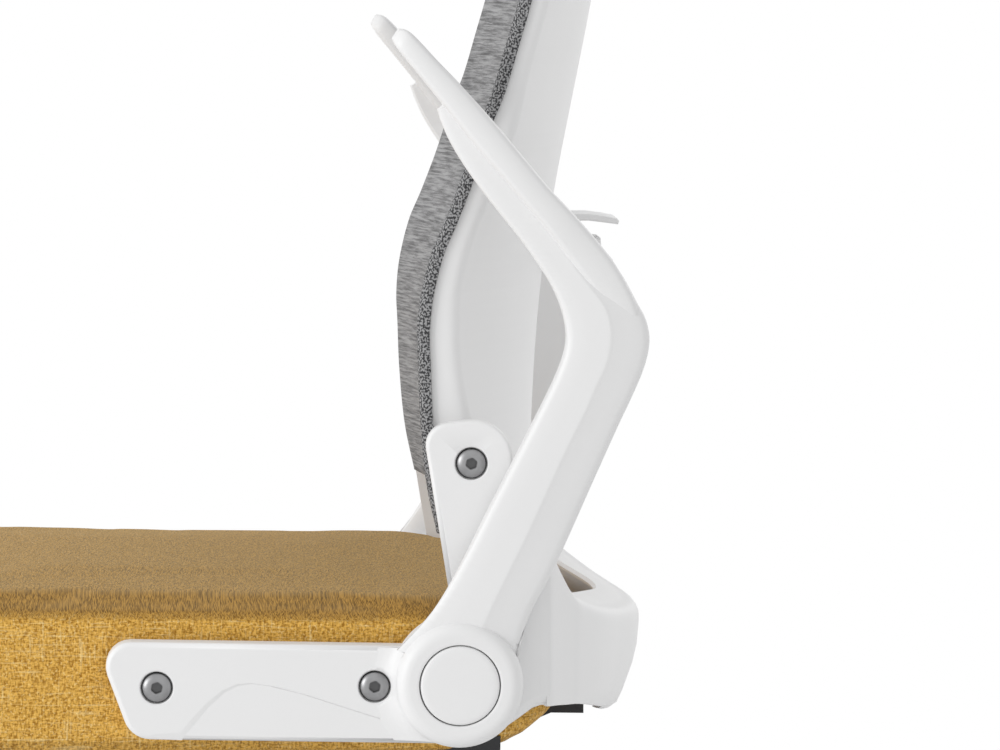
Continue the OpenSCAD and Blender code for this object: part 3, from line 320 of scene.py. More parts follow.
# the cover from its lip up the side band and over to the crown: inset, and share of the height
COVER_ROWS = (
    (9, 0), (4, 0.06), (1.5, 0.16), (0.8, 0.35), (0.8, 0.67), (1.2, 0.878), (2.6, 0.956), (5.5, 1.006),
    (11, 1.032), (28, 1.047), (70, 1.054), (150, 1.057))
COVER_LIP = SEAT_LOW + 1
bm = bmesh.new()
carried_through(
    bm, [seat_outline(PAN_INSET, PAN_TOP, False), seat_outline(PAN_INSET, COVER_LIP, False)]
    + [seat_outline(inset, COVER_LIP + share * (SEAT_TOP - 1 - COVER_LIP), share > 0.5)
       for inset, share in COVER_ROWS])
# the simulation, in metres: mesh size, pressure, frames, how far a point may move, and the
# brackets' inner faces, which nothing may pass
VOXEL, PRESSURE, CUSHION_STEPS, SWELL_REACH, BRACKET_FACE = 0.005, 4, 20, 0.005, 0.2381


def swollen(piece, held, reach):
    """Foam that fills its cover: the mesh swells under pressure, and no point moves past reach."""
    remesh = piece.modifiers.new("even", "REMESH")
    remesh.mode, remesh.voxel_size = "VOXEL", VOXEL
    bpy.context.view_layer.objects.active = piece
    bpy.ops.object.modifier_apply(modifier=remesh.name)
    start = [v.co.copy() for v in piece.data.vertices]
    pins = piece.vertex_groups.new(name="pins")
    pins.add([k for k, p in enumerate(start) if held(p)], 1, "REPLACE")
    cloth = piece.modifiers.new("cover", "CLOTH")
    cloth.settings.use_pressure = True
    cloth.settings.uniform_pressure_force = PRESSURE
    cloth.settings.effector_weights.gravity = 0
    cloth.settings.vertex_group_mass = "pins"
    cloth.point_cache.frame_start, cloth.point_cache.frame_end = 1, CUSHION_STEPS
    for step in range(1, CUSHION_STEPS + 1):
        bpy.context.scene.frame_set(step)
    bpy.ops.object.modifier_apply(modifier=cloth.name)
    bpy.context.scene.frame_set(1)
    piece.vertex_groups.clear()
    for v, p in zip(piece.data.vertices, start):
        moved = v.co - p
        if moved.length > reach:
            v.co = p + moved * (reach / moved.length)
        v.co.x = max(-BRACKET_FACE, min(BRACKET_FACE, v.co.x))
    piece.data.update()


def held_down(p):
    """Whether the cover is held at a place: low on its side band, and where it lies on the pan."""
    return p.z < HUB.z - 0.040 or (p.z < HUB.z - 0.020 and abs(p.x) < 0.222)


# Yarns run both ways, as stretched noise, on three planes: the flanks, the top, and front and rear.
FACING = 0.62
weave = Finish(
    "mustard_weave", Roughness=0.86, Specular_IOR_Level=0.2, Sheen_Weight=0.35, Sheen_Roughness=0.45)
weave.shader.inputs["Sheen Tint"].default_value = (1.0, 0.80, 0.46, 1)
x, y, z = weave.axes(weave.place())
nx, _, nz = [wire.into("ABSOLUTE") for wire in weave.axes(weave.add("NewGeometry", {}, {}, out="Normal"))]
flank = nx > FACING
upper = nz > FACING
across = flank * y + (1 - flank) * x
# on the top the yarns lie askew and show larger
across = upper * (y + x * 0.17 + z * 0.9) * 1.5 + (1 - upper) * across
upward = upper * (y - x * 0.17 - z * 0.9) * 1.5 + (1 - upper) * z
weft = weave.noise(weave.joined(across * 330, upward * 950, 0), 1.0, 2.0, 0.6)
warp = weave.noise(weave.joined(across * 950, upward * 330, 7.3), 1.0, 2.0, 0.6)
fleck = weave.noise(weave.joined(across * 620, upward * 620, 3.1), 1.0, 1.0)
weft_slub = weave.noise(weave.joined(across * 40, upward * 560, 1.7), 1.0, 1.0).step(0.6, 0.74)
warp_slub = weave.noise(weave.joined(across * 560, upward * 40, 4.9), 1.0, 1.0).step(0.6, 0.74)
yarn = (weft + warp) * 0.5
cloth_tone = weave.mix(yarn.step(0.36, 0.62), (0.33, 0.15, 0.012), (0.80, 0.47, 0.10))
slub = weft_slub + warp_slub
cloth_tone = weave.mix(slub * 0.34 + fleck.step(0.56, 0.72) * 0.4, cloth_tone, (0.98, 0.76, 0.36))
# painted shade: faces that point up get a darker, browner tone than the flanks, as the top catches less of
# the light
shaded_top_tone = weave.mix(yarn.step(0.38, 0.6), (0.14, 0.068, 0.010), (0.50, 0.27, 0.055))
cloth_tone = weave.mix(nz.step(0.35, 0.92), cloth_tone, shaded_top_tone)
weave.give(
    Base_Color=cloth_tone,
    Normal=weave.bump(yarn * 0.75 + fleck * 0.25 + slub * 0.15, 0.0012, 0.7))
cushion = made("cushion_cover", bm, weave.material)
swollen(cushion, held_down, SWELL_REACH)
soft = cushion.modifiers.new("soft", "SUBSURF")
soft.levels = soft.render_levels = 1
for polygon in cushion.data.polygons:
    polygon.use_smooth = True
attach(cushion, "seat")
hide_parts("seat_cushion")

# Seat pan, undershell and their like: glass-filled nylon in black, moulded with a fine grain.
# The pan carries the foam, and the undershell clips under it and hides its ribs.
black_nylon = Finish("black_nylon", Specular_IOR_Level=0.35)
spot = black_nylon.place()
black_nylon.give(
    Base_Color=black_nylon.mix(black_nylon.noise(spot, 14.0), (0.022, 0.022, 0.024), (0.034, 0.034, 0.036)),
    Roughness=0.46 + 0.14 * black_nylon.noise(spot, 60.0),
    Normal=black_nylon.bump(black_nylon.noise(spot, 1500.0, 3.0), 0.00008, 0.7))
BLACK = black_nylon.material
dressed(BLACK, "seat_pan", "seat_undershell")

# White nylon: the frame parts are moulded in one satin white plastic with the fine grain that
# a spark-eroded tool leaves, a little uneven in gloss where hands have rubbed it.
white_nylon = Finish("white_nylon", Specular_IOR_Level=0.4)
spot = white_nylon.place()
white_nylon.give(
    Base_Color=white_nylon.mix(white_nylon.noise(spot, 9.0), (0.80, 0.80, 0.802), (0.835, 0.835, 0.835)),
    Roughness=0.38 + 0.12 * white_nylon.noise(spot, 55.0),
    Normal=white_nylon.bump(white_nylon.noise(spot, 1900.0, 3.0), 0.00004, 0.6))
WHITE = white_nylon.material

# Side bracket, one each side: a nylon bar bolted to the seat pan with two button bolts, with a
# round boss for the arm's pivot, a tongue up to the back, and a lug behind for the rear band.
# A shallow swoosh is sunk into the bar's outer face, and each bolt head lies in a round recess.
BRACKET_IN, BAR_OUT, TONGUE_OUT, BOSS_OUT = 238.3, 256.3, 250.0, 266.0


def rounded(corners, steps=7):
    """The outline of a plate from its corners, each drawn in round."""
    points = []
    for k, (y, z, r) in enumerate(corners):
        here = Vector((y, z))
        back = (Vector(corners[k - 1][:2]) - here).normalized()
        on = (Vector(corners[(k + 1) % len(corners)][:2]) - here).normalized()
        if not r:
            points.append((y, z))
            continue
        half = back.angle(on) / 2
        centre = here + (back + on).normalized() * (r / math.sin(half))
        start, end = here + back * (r / math.tan(half)) - centre, here + on * (r / math.tan(half)) - centre
        sweep = start.angle_signed(end)
        for i in range(steps + 1):
            arm = Matrix.Rotation(-sweep * i / steps, 2) @ start
            points.append(tuple(centre + arm))
    return points


def pulled_in(outline, margin):
    """The outline with each point moved towards the inside, all by one margin or each by its own."""
    area = sum(a[0] * b[1] - b[0] * a[1] for a, b in zip(outline, outline[1:] + outline[:1]))
    turn = 1 if area > 0 else -1
    moved = []
    for k, point in enumerate(outline):
        by = margin[k] if isinstance(margin, list) else margin
        before, after = Vector(outline[k - 1]), Vector(outline[(k + 1) % len(outline)])
        way = (after - before).normalized()
        moved.append((point[0] - way.y * by * turn, point[1] + way.x * by * turn))
    return moved


def slab(bm, outline, inner, outer, soft_edge, shift):
    """A plate across X from an outline, with its outer rim rounded."""
    sections = [[(inner, *p) for p in outline]]
    for k in range(6):
        a = math.radians(18 * k)
        edge = pulled_in(outline, soft_edge * (1 - math.cos(a)))
        sections.append([(outer - soft_edge * (1 - math.sin(a)), *p) for p in edge])
    sections.append([(outer + 0.02, *p) for p in pulled_in(outline, soft_edge + 0.8)])
    carried_through(bm, sections, shift)


def lathe(bm, profile, y, z, shift, steps=56):
    """A form turned about the X axis through (y, z), from its profile of radius and x."""
    chain = [bm.verts.new(shift(x, y + r, z)) for r, x in profile]
    edges = [bm.edges.new(pair) for pair in zip(chain, chain[1:])]
    bmesh.ops.spin(
        bm, geom=chain + edges, cent=shift(0, y, z), axis=(1, 0, 0), angle=2 * math.pi, steps=steps,
        use_merge=True)
    bmesh.ops.remove_doubles(bm, verts=bm.verts, dist=0.00001)


def joined_in(bm, other):
    """Adds another mesh to this one, and frees the other."""
    part = bpy.data.meshes.new("part")
    other.to_mesh(part)
    other.free()
    bm.from_mesh(part)
    bpy.data.meshes.remove(part)


def cut_out(piece, cutter):
    """Takes the cutter's form out of the piece."""
    cut = piece.modifiers.new("cut", "BOOLEAN")
    cut.operation, cut.object, cut.solver = "DIFFERENCE", cutter, "EXACT"
    cut.use_self = True
    bpy.context.view_layer.objects.active = piece
    bpy.ops.object.modifier_apply(modifier=cut.name)
    bpy.data.objects.remove(cutter)


def side_of(sign):
    """Places on the left (1) or the right (-1) side, from the hubs' axis."""
    return lambda x, y, z: from_hub(sign * x, y, z)


SEAT_BOLTS, BACK_BOLT = ((-183, -3), (-51, -3)), (8, 132)
BAR = rounded([(-220.5, 25.2, 15), (-198.5, -34.5, 17), (10, -38.5, 0), (10, 20.5, 0)])
# the swoosh: its foot on the bar's lower edge, its crest, and its long fall towards the hub
# (place along, height, and how far its rim is drawn in)
SWOOSH = (
    (-168, -35.1, 4.4), (-160, -26, 4), (-151, -15, 3.2), (-142, -6.5, 2.2), (-134, -2.4, 1.4),
    (-126, -1.2, 1), (-112, -3, 0.7), (-92, -8.2, 0.6), (-70, -15.5, 0.6), (-50, -22, 0.6),
    (-34, -26.5, 0.6), (-14, -31, 0.6))
# the bar's two front corners, and its face over the swoosh and under it
UPPER = BAR[:16]
UPPER_FACE = UPPER + [p[:2] for p in SWOOSH] + [(10, -31), (10, 20.5)]
LOWER_FACE = [(-172, -35)] + [(p[0] - 3.5, p[1] + 3.6) for p in SWOOSH[1:]] + [(10, -27.4), (10, -38.5)]
# the boss: a circle, a little wider over its upper front
BOSS = [(40 * math.cos(a), 40 * math.sin(a)) for a in (math.radians(60 + 4 * k) for k in range(24))]
BOSS += [(38 * math.cos(a), 38 * math.sin(a)) for a in (math.radians(162 + 6 * k) for k in range(41))]
BOSS_FACE = ((BRACKET_IN + 0.1, 0), (256, 0), (256.8, 1.6), (258, 4), (259.2, 7), (260, 10), (260.3, 12))
# the collar under the arm's ring: radius and X
COLLAR = [(0, BRACKET_IN + 0.15), (37, BRACKET_IN + 0.15), (37, 262), (36.6, 263.8), (35.6, 265),
          (33.6, 265.8), (31, BOSS_OUT), (30, BOSS_OUT + 0.02), (0, BOSS_OUT + 0.02)]
TONGUE = rounded([
    (-21.5, 154.5, 14), (34, 161.5, 24), (33, 113, 20), (13, 92, 30), (15, 20, 0), (0, 20, 0)])
# the web behind the ring: place along, lower and upper edge, and how far out its face lies
WEB = (
    (0, -37.5, 50, 262), (12, -37, 70, 261.6), (24, -31.5, 84, 260), (37, -23, 92, 256.6),
    (45, -17.5, 92, 254), (50, -16, 88, 252.2), (56, -15.9, 82, 249.7))
# the fillet between the bar and the ring: radius and X, and the planes that end it
FILLET = [
    (30, 268), (38, 268), (38.4, 264.4), (39.8, 261.4), (42.4, 258.9), (46, 257.3), (50, 256.5),
    (53, 256.2), (53, 250), (30, 250)]
FILLET_ENDS = (((256, 0, 20.0), (0, 0.02, 1)), ((256, 0, -36.6), (0, -0.02, -1)), ((256, -6, 0), (0, 1, 0)))
# the rim over the swoosh: how far under the bar's face, how far in, and the share at the swoosh
SWOOSH_RIM = (
    (1.5, 0.4, 0), (0.85, 1.1, 0), (0.6, 1.6, 0.2), (0.22, 2.2, 0.7), (0, 3.1, 1), (-0.01, 3.9, 1.15))
RECESS = 2.6
# faces over this many square metres stay flat, so that no shading runs over them
FLAT_OVER = 0.0004


def web_section(y, low, top, outer):
    """The web's section across the chair at a place along it, with its outer edges eased."""
    rim = ((BRACKET_IN + 0.2, low), (BRACKET_IN + 0.2, top), (outer - 6, top), (outer - 2, top - 1.6),
           (outer, top - 6), (outer, low + 7), (outer - 1.6, low + 2.4), (outer - 6, low))
    return [(x, y, z) for x, z in rim]


def recess(outer):
    """The round recess of a bolt head, past the face it is sunk in: radius and X."""
    return [(0, outer - RECESS), (9.9, outer - RECESS), (9.9, outer - 0.7), (10.1, outer - 0.3),
            (10.8, outer + 0.05), (10.8, outer + 5), (0, outer + 5)]


for side, sign in (("left", 1), ("right", -1)):
    shift = side_of(sign)
    bm = bmesh.new()
    slab(bm, LOWER_FACE, BRACKET_IN + 0.25, BAR_OUT - 0.7, 2, shift)
    sections = [[(x, *p) for p in UPPER_FACE] for x in (BRACKET_IN, BAR_OUT - 3)]
    for drop, margin, share in SWOOSH_RIM:
        margins = [margin] * len(UPPER) + [p[2] * share for p in SWOOSH] + [0, margin]
        sections.append([(BAR_OUT - drop, *p) for p in pulled_in(UPPER_FACE, margins)])
    carried_through(bm, sections, shift)
    slab(bm, TONGUE, BRACKET_IN + 0.05, TONGUE_OUT, 2.4, shift)
    carried_through(bm, [[(x, *p) for p in pulled_in(BOSS, inset)] for x, inset in BOSS_FACE], shift)
    lathe(bm, COLLAR, 0, 0, shift)
    skirt = bmesh.new()
    lathe(skirt, FILLET + FILLET[:1], 0, 0, shift, 96)
    for place, way in FILLET_ENDS:
        cut = bmesh.ops.bisect_plane(
            skirt, geom=skirt.verts[:] + skirt.edges[:] + skirt.faces[:], plane_co=shift(*place),
            plane_no=way, clear_outer=True)
        bmesh.ops.holes_fill(skirt, edges=[g for g in cut["geom_cut"] if isinstance(g, bmesh.types.BMEdge)])
    outward(skirt)
    joined_in(bm, skirt)
    carried_through(bm, [web_section(*row) for row in WEB], shift)
    outward(bm)
    smoothed(bm)
    bracket = made("%s_bracket" % side, bm, WHITE, "seat", ["%s_side_bracket" % side])
    holes = bmesh.new()
    for (y, z), outer in ((SEAT_BOLTS[0], BAR_OUT), (SEAT_BOLTS[1], BAR_OUT), (BACK_BOLT, TONGUE_OUT)):
        lathe(holes, recess(outer), y, z, shift, 40)
    outward(holes)
    cut_out(bracket, made("holes", holes, WHITE))
    for polygon in bracket.data.polygons:
        polygon.use_smooth = polygon.area < FLAT_OVER

# Button bolts, M8, zinc plated: two through each bar into the seat pan and one through each
# tongue into the back. The head is a low dome with a hexagon socket, a little dull with handling.
zinc = Finish("zinc", Metallic=0.85, Specular_IOR_Level=0.5)
spot = zinc.place()
# painted shade: where the attribute is high, the head is painted near black, for the shadow of its recess
# round its rim and in its socket
zinc.give(
    Base_Color=zinc.mix(
        zinc.add("Attribute", {"attribute_name": "painted_shade"}, {}, out="Fac"),
        zinc.mix(zinc.noise(spot, 160.0), (0.24, 0.24, 0.245), (0.40, 0.40, 0.405)), (0.03, 0.03, 0.03)),
    Roughness=0.30 + 0.18 * zinc.noise(spot, 320.0),
    Normal=zinc.bump(zinc.noise(spot, 900.0, 3.0), 0.00006, 0.8))


# the head's dome and the shank: radius, and how far out from the recess's floor
BOLT = (
    (3.9, 4.1), (5.2, 4.0), (7, 3.4), (8.3, 2.4), (9.1, 1.3), (9.3, 0.5), (9.1, 0), (4, 0), (4, -24),
    (0, -24))
SOCKET_TOP, SOCKET_RADIUS, SOCKET_DEPTH = 4.0, 3.5, 2.4


def button_head(bm, outer, y, z, sign):
    """A domed head on its shank, with a hexagon socket sunk in the middle, and painted shade on its rim and
    in its socket.
    """
    shift = side_of(sign)
    lathe(bm, [(r, outer + x) for r, x in BOLT], y, z, shift, 48)
    rim = [e for e in bm.edges if len(e.link_faces) == 1]
    corners = [bm.verts.new(shift(
        outer + SOCKET_TOP, y + SOCKET_RADIUS * math.cos(a), z + SOCKET_RADIUS * math.sin(a)))
               for a in (math.radians(60 * k + 20) for k in range(6))]
    socket = [bm.edges.new(pair) for pair in zip(corners, corners[1:] + corners[:1])]
    bmesh.ops.bridge_loops(bm, edges=rim + socket)
    grown = bmesh.ops.extrude_edge_only(bm, edges=socket)["geom"]
    floor_verts = [g for g in grown if isinstance(g, bmesh.types.BMVert)]
    bmesh.ops.translate(bm, verts=floor_verts, vec=(-sign * SOCKET_DEPTH / 1000, 0, 0))
    bmesh.ops.contextual_create(bm, geom=[g for g in grown if isinstance(g, bmesh.types.BMEdge)
                                          and all(v in floor_verts for v in g.verts)])
    # painted shade: black round the head's rim for the shadow in its recess, dark at the socket's mouth,
    # fading down to its floor
    painted_shade = bm.verts.layers.float.new("painted_shade")
    middle = shift(outer, y, z)
    for v in bm.verts:
        out_by = math.hypot(v.co.y - middle.y, v.co.z - middle.z)
        v[painted_shade] = 1 if out_by > 0.0088 else 0.1 if v in floor_verts else 0.7 if out_by < 0.0037 else 0


for name, node, places, outer in (("seat_bolt_heads", "seat_bolts", SEAT_BOLTS, BAR_OUT - RECESS),
                                  ("back_bolt_heads", "back_bolts", (BACK_BOLT,), TONGUE_OUT - RECESS)):
    bm = bmesh.new()
    for sign in (1, -1):
        for y, z in places:
            single = bmesh.new()
            button_head(single, outer, y, z, sign)
            outward(single)
            joined_in(bm, single)
    smoothed(bm)
    made(name, bm, zinc.material, "seat", [node])

# Arm, one each side: a nylon lever that flips up about the hub, with a flat bend at half its
# length. A ridge runs up its outer face, which falls away in two facets, and its root is a ring
# round the pivot. It is 27 mm thick at the ridge.
# each place along it: inner edge, ridge and outer edge, and how far out in X the ridge lies
ARM_PLACES = (
    ((-38, 21), (6, 8), (33, -6), 274), ((-20, 40), (12, 30), (35, 17), 275.3),
    ((-7, 58.5), (20.5, 50), (43, 43), 277),
    ((6, 82), (31, 72), (53, 62), 278.6), ((18, 106), (41.7, 94), (63, 83), 279.6),
    ((40, 149), (61.5, 137.5), (82.5, 127), 279.9), ((54, 177), (75.5, 166), (96, 157), 279.9),
    ((60, 190.5), (82, 181), (104.5, 175), 279.9), ((63.5, 201), (88, 194), (111.5, 192), 279.9),
    ((64.6, 210), (90.7, 207), (114.6, 207), 279.9), ((63.6, 219), (90.2, 219), (112.6, 220), 279.9),
    ((60.5, 230), (86.5, 229.5), (107, 231), 279.9), ((55, 242), (79, 239.5), (98, 247.5), 279.9),
    ((48, 253), (70, 251.5), (87.5, 261.5), 279.9), ((39, 266), (57.5, 269), (72, 279.5), 279.9),
    ((28, 280), (43.5, 286.2), (57.5, 296), 279.9), ((17, 294), (30, 301.6), (43.5, 311.5), 279.9),
    ((6, 309), (17, 317), (30.5, 327), 279.4), ((-4, 325), (5.5, 331), (18, 342), 278.6),
    ((-10, 338), (-2, 341), (8, 352), 278), ((-13, 347), (-8, 348.5), (0, 358), 277.5))
# X of the inner side: over the boss, and past it, where it steps in from row to row
ARM_OVER_BOSS, ARM_IN, ARM_STEP, ROWS_OVER_BOSS = 266.6, 253, 1.6, 6
# round the section: share of the way from the inner edge over the ridge (at 1) to the outer edge
# (at 2), and X
ARM_SECTION = (
    (0, -5), (0.01, -2.9), (0.06, -1.6), (0.16, -0.9), (0.5, -0.45), (0.9, -0.1), (0.965, -0.04),
    (1, -0.08), (1.035, -0.34), (1.1, -0.75), (1.5, -2.5), (1.78, -3.8), (1.9, -4.7), (1.97, -6.3),
    (2, -8.6))
ARM_INNER = ((2, 4.5), (1.96, 1.8), (1.86, 0.3), (1.7, 0), (0.3, 0), (0.14, 0.3), (0.04, 1.8), (0, 4.5))


def arm_section(inner, ridge, outer, top, low):
    """The arm's section at one place: over the ridge from edge to edge, and back along its inner side."""
    ring = []
    for t, x in [(t, top + x) for t, x in ARM_SECTION] + [(t, low + x) for t, x in ARM_INNER]:
        a, b, u = (inner, ridge, t) if t <= 1 else (ridge, outer, t - 1)
        ring.append((x, a[0] + (b[0] - a[0]) * u, a[1] + (b[1] - a[1]) * u))
    return ring


def arm_inner_x(k):
    """X of the inner side at a row."""
    past = k - ROWS_OVER_BOSS + 1
    return ARM_OVER_BOSS if past < 1 else max(ARM_IN, ARM_OVER_BOSS - past * ARM_STEP)


def between(places, steps):
    """More places on smooth curves through the given ones."""
    flat = [sum(((v,) if isinstance(v, (int, float)) else tuple(v) for v in p), ()) for p in places]
    tables = [[(k, row[c]) for k, row in enumerate(flat)] for c in range(len(flat[0]))]
    return [[along(table, k / steps) for table in tables] for k in range((len(flat) - 1) * steps + 1)]


# Arm pad: a firm moulded pad, 44 mm wide, snapped over the arm's upper half, with rounded rims.
# It rises out of the arm just past the bend and runs on a little past the arm's own end.
# each place: underside, top, and how far it reaches in X, inwards and outwards
PAD_PLACES = (
    ((92, 221), (108, 223.5), 256, 276.5), ((84, 233), (103.6, 235.8), 254.5, 278.4),
    ((75, 245), (93.4, 254), 252.5, 280.6), ((64, 259.5), (80.4, 270.6), 250, 283),
    ((53, 274), (67.3, 285.4), 247.5, 285.6), ((39, 290.6), (53, 300.6), 245.5, 287.4),
    ((25, 307), (38, 318.6), 244.4, 288.4), ((6, 329.5), (19.6, 340.6), 244.4, 288.4),
    ((-11, 351.5), (0.6, 361.8), 244.8, 288), ((-24, 367.5), (-13.4, 376.4), 246, 286.8),
    ((-34.5, 380.4), (-26, 390), 248, 284.8), ((-38.5, 386), (-31.6, 394.6), 250.4, 282.4),
    ((-40.2, 389.6), (-36.4, 395.6), 255, 278))
# round the section: share of the way from the underside to the top, and share of the half width
PAD_SECTION = (
    (0.5, 1), (0.2, 1), (0.04, 0.93), (0, 0.8), (0, 0.4), (0, -0.4), (0, -0.8), (0.04, -0.93), (0.2, -1),
    (0.5, -1), (0.8, -1), (0.95, -0.94), (1, -0.83), (1.02, -0.4), (1.02, 0.4), (1, 0.83), (0.95, 0.94),
    (0.8, 1))


def pad_section(y0, z0, y1, z1, inner, outer):
    """The pad's section at one place, from its underside (0) to its top (1)."""
    middle, half = (inner + outer) / 2, (outer - inner) / 2
    return [(middle + half * w, y0 + (y1 - y0) * t, z0 + (z1 - z0) * t) for t, w in PAD_SECTION]


# Hub: the arm's root ring with its round shoulder, and a cap that snaps in over the pivot bolt,
# with a thin dark gap all round it.
# the profiles of the ring and of the cap: radius and X
RING = [
    (24.7, 272), (24.7, 279.2), (25.1, 279.8), (25.9, 280), (26.6, 280), (29.8, 280), (30.5, 280),
    (32.6, 279.7), (34.7, 278.8), (36.6, 277), (38, 274.4), (38.5, 271.5), (38.5, 266.6), (38.2, 266.3),
    (20, 266.3), (20, 272), (24.7, 272)]
CAP = [
    (0, 280.25), (12, 280.2), (20, 280.05), (22.6, 279.9), (23.5, 279.5), (23.9, 278.8), (23.9, 272.4),
    (0, 272.4)]
for side, sign in (("left", 1), ("right", -1)):
    shift = side_of(sign)
    bm = bmesh.new()
    rows = between(ARM_PLACES, 4)
    carried_through(bm, [
        arm_section(row[0:2], row[2:4], row[4:6], row[6], arm_inner_x(k))
        for k, row in enumerate(rows)], shift)
    smoothed(bm, 38)
    ring = bmesh.new()
    lathe(ring, RING, 0, 0, shift, 72)
    outward(ring)
    smoothed(ring, 40)
    joined_in(bm, ring)
    made("%s_arm_lever" % side, bm, WHITE, "%s_arm" % side, ["%s_arm_body" % side])
    bm = bmesh.new()
    carried_through(bm, [pad_section(*row) for row in between(PAD_PLACES, 4)], shift)
    smoothed(bm, 50)
    made("%s_pad" % side, bm, WHITE, "%s_arm" % side, ["%s_arm_pad" % side])
    bm = bmesh.new()
    lathe(bm, CAP, 0, 0, shift, 72)
    outward(bm)
    smoothed(bm, 40)
    made("%s_cap" % side, bm, WHITE, "%s_arm" % side, ["%s_hub_cap" % side])

# Back shell: a white nylon shell, 4 mm thick, that carries the mesh. Its flanks are flat strips
# that follow the curve of the mesh, and behind a soft crease it bulges to the rear in the middle.
BACK_HALF, BACK_LOW, BACK_TOP, BACK_CORNER, SHELL_WALL = 222, 86, 530, 62, 4
CORNER_Z = BACK_TOP - BACK_CORNER
# heights over 530 mm, and how far to the rear of the hub over 100 mm
FRONT_LINE = (
    (0.157, -0.105), (0.2226, -0.178), (0.2943, -0.215), (0.3566, -0.228), (0.3925, -0.235),
    (0.434, -0.215), (0.485, -0.15), (0.5208, -0.07), (0.5698, 0.03), (0.6377, 0.15), (0.6698, 0.22),
    (0.7208, 0.3), (0.7774, 0.385), (0.85, 0.465), (0.93, 0.525), (1, 0.56))
CREASE_LINE = (
    (0.157, 0.25), (0.2226, 0.17), (0.2943, 0.09), (0.3566, 0.03), (0.4, 0.02), (0.4472, 0.03), (0.5, 0.1),
    (0.549, 0.2), (0.6189, 0.35), (0.7057, 0.46), (0.7774, 0.565), (0.85, 0.64), (0.93, 0.695), (1, 0.73))
REAR_LINE = ((0.157, 0.55), (0.25, 0.55), (0.4, 0.6), (0.543, 0.7), (0.77, 0.93), (0.9, 1.04), (1, 1.08))


def back_line(table, z):
    """How far to the rear of the hub a line of the back lies at a height."""
    return 100 * along(table, z / BACK_TOP)


def corner_share(z):
    """1 below the top corners, falling towards 0 at the top as a quarter circle does."""
    return 1 if z < CORNER_Z else math.sqrt(max(0.02, 1 - ((z - CORNER_Z) / BACK_CORNER) ** 2))


def back_width(z):
    """Half the back's width at a height."""
    return BACK_HALF - BACK_CORNER + BACK_CORNER * corner_share(z)


def full_at(z):
    """How full the bulge is at a height: it closes towards the rim at the top and at the bottom."""
    return min(1, 0.55 + (z - BACK_LOW) / 100) if z < CORNER_Z else corner_share(z)


def rear_at(z, share):
    """The rear surface: how far back it lies at a height and a share of the half width."""
    crease = back_line(CREASE_LINE, z)
    deep = back_line(REAR_LINE, z) - crease
    return crease + deep * full_at(z) * (1 - abs(share) ** 2.4)


BACK_LEVELS = [BACK_LOW + (CORNER_Z - BACK_LOW) * k / 44 for k in range(45)]
ROUND_THE_CORNER = (10, 20, 30, 40, 49, 57, 64, 70, 75, 80)
BACK_LEVELS += [CORNER_Z + BACK_CORNER * math.sin(math.radians(a)) for a in ROUND_THE_CORNER]
REAR_SHARES = [0.955 - 0.955 * (k / 22) ** 1.2 for k in range(22, -1, -1)]


def shell_line(z, inset):
    """The shell's section at a height: flank, crease, rear, crease and flank."""
    x, front = back_width(z) - inset, back_line(FRONT_LINE, z) + 5
    crease = back_line(CREASE_LINE, z) - inset
    half = [(x - 0.9, front), (x, front + 1), (x, crease - 10), (x - 0.2, crease - 6),
            (x - 1.1, crease - 3), (x - 3, crease - 0.4), (x - 5.5, crease + 0.9)]
    half += [(x * s * 0.985, rear_at(z, s) - inset) for s in sorted(REAR_SHARES, reverse=True)]
    return half + [(-px, py) for px, py in half[-2::-1]]


def back_section(z):
    """The shell's wall at a height: its outer line, and its inner line back."""
    outer, inner = shell_line(z, 0), shell_line(z, SHELL_WALL)
    return [(px, py, z) for px, py in outer + inner[::-1]]


bm = bmesh.new()
carried_through(bm, [back_section(z) for z in BACK_LEVELS])
# a boss each side, which the back bolt is screwed into
BOLT_BOSS = [(0, 217), (15, 217), (15, 237.7), (0, 237.7)]
for sign in (1, -1):
    lathe(bm, BOLT_BOSS, *BACK_BOLT, side_of(sign), 40)
outward(bm)
smoothed(bm)
shell = made("back_cover", bm, WHITE, "seat", ["back_shell"])
# the slot that the lumbar tab's stem slides in
SLOT_MIDDLE, SLOT_SIZE = from_hub(0, 60, 256), (0.014, 0.09, 0.076)
slot_cutter = bmesh.new()
bmesh.ops.create_cube(slot_cutter, size=1, matrix=Matrix.LocRotScale(SLOT_MIDDLE, None, SLOT_SIZE))
cut_out(shell, made("slot", slot_cutter, WHITE))

# Back mesh: a grey knitted net, stretched over the frame and wrapped round the shell's flanks.
# Fine cross ribs run over it, heavier and lighter at random, and a speckled tape edges the wrap.
# MESH_FALL is how far its middle lies behind its edges. Past the share BEND of its half width it
# turns over the frame, and past the share FLANK it lies on the shell. NET_OUT is how far it stands
# off the shell's side, and NET_ROUND the radius of its turn.
MESH_FALL, BEND, FLANK, NET_OUT, NET_ROUND = 28, 0.8, 0.86, 1.9, 4


def net_point(u, z):
    """A place on the net: u runs from one wrapped edge (-1) over the middle to the other (1)."""
    half, front, wrap = back_width(z) + NET_OUT, back_line(FRONT_LINE, z), 7 + 0.5 * z / BACK_TOP
    side, u = math.copysign(1, u), abs(u)
    if u > FLANK:
        return side * half, front + NET_ROUND + (wrap - NET_ROUND) * (u - FLANK) / (1 - FLANK)
    if u > BEND:
        a = math.radians(90 * (u - BEND) / (FLANK - BEND))
        return (side * (half - NET_ROUND + NET_ROUND * math.sin(a)),
                front + NET_ROUND - NET_ROUND * math.cos(a))
    x = (half - NET_ROUND) * u / BEND
    return side * x, front + MESH_FALL * full_at(z) * (1 - (x / (half - NET_ROUND)) ** 2)


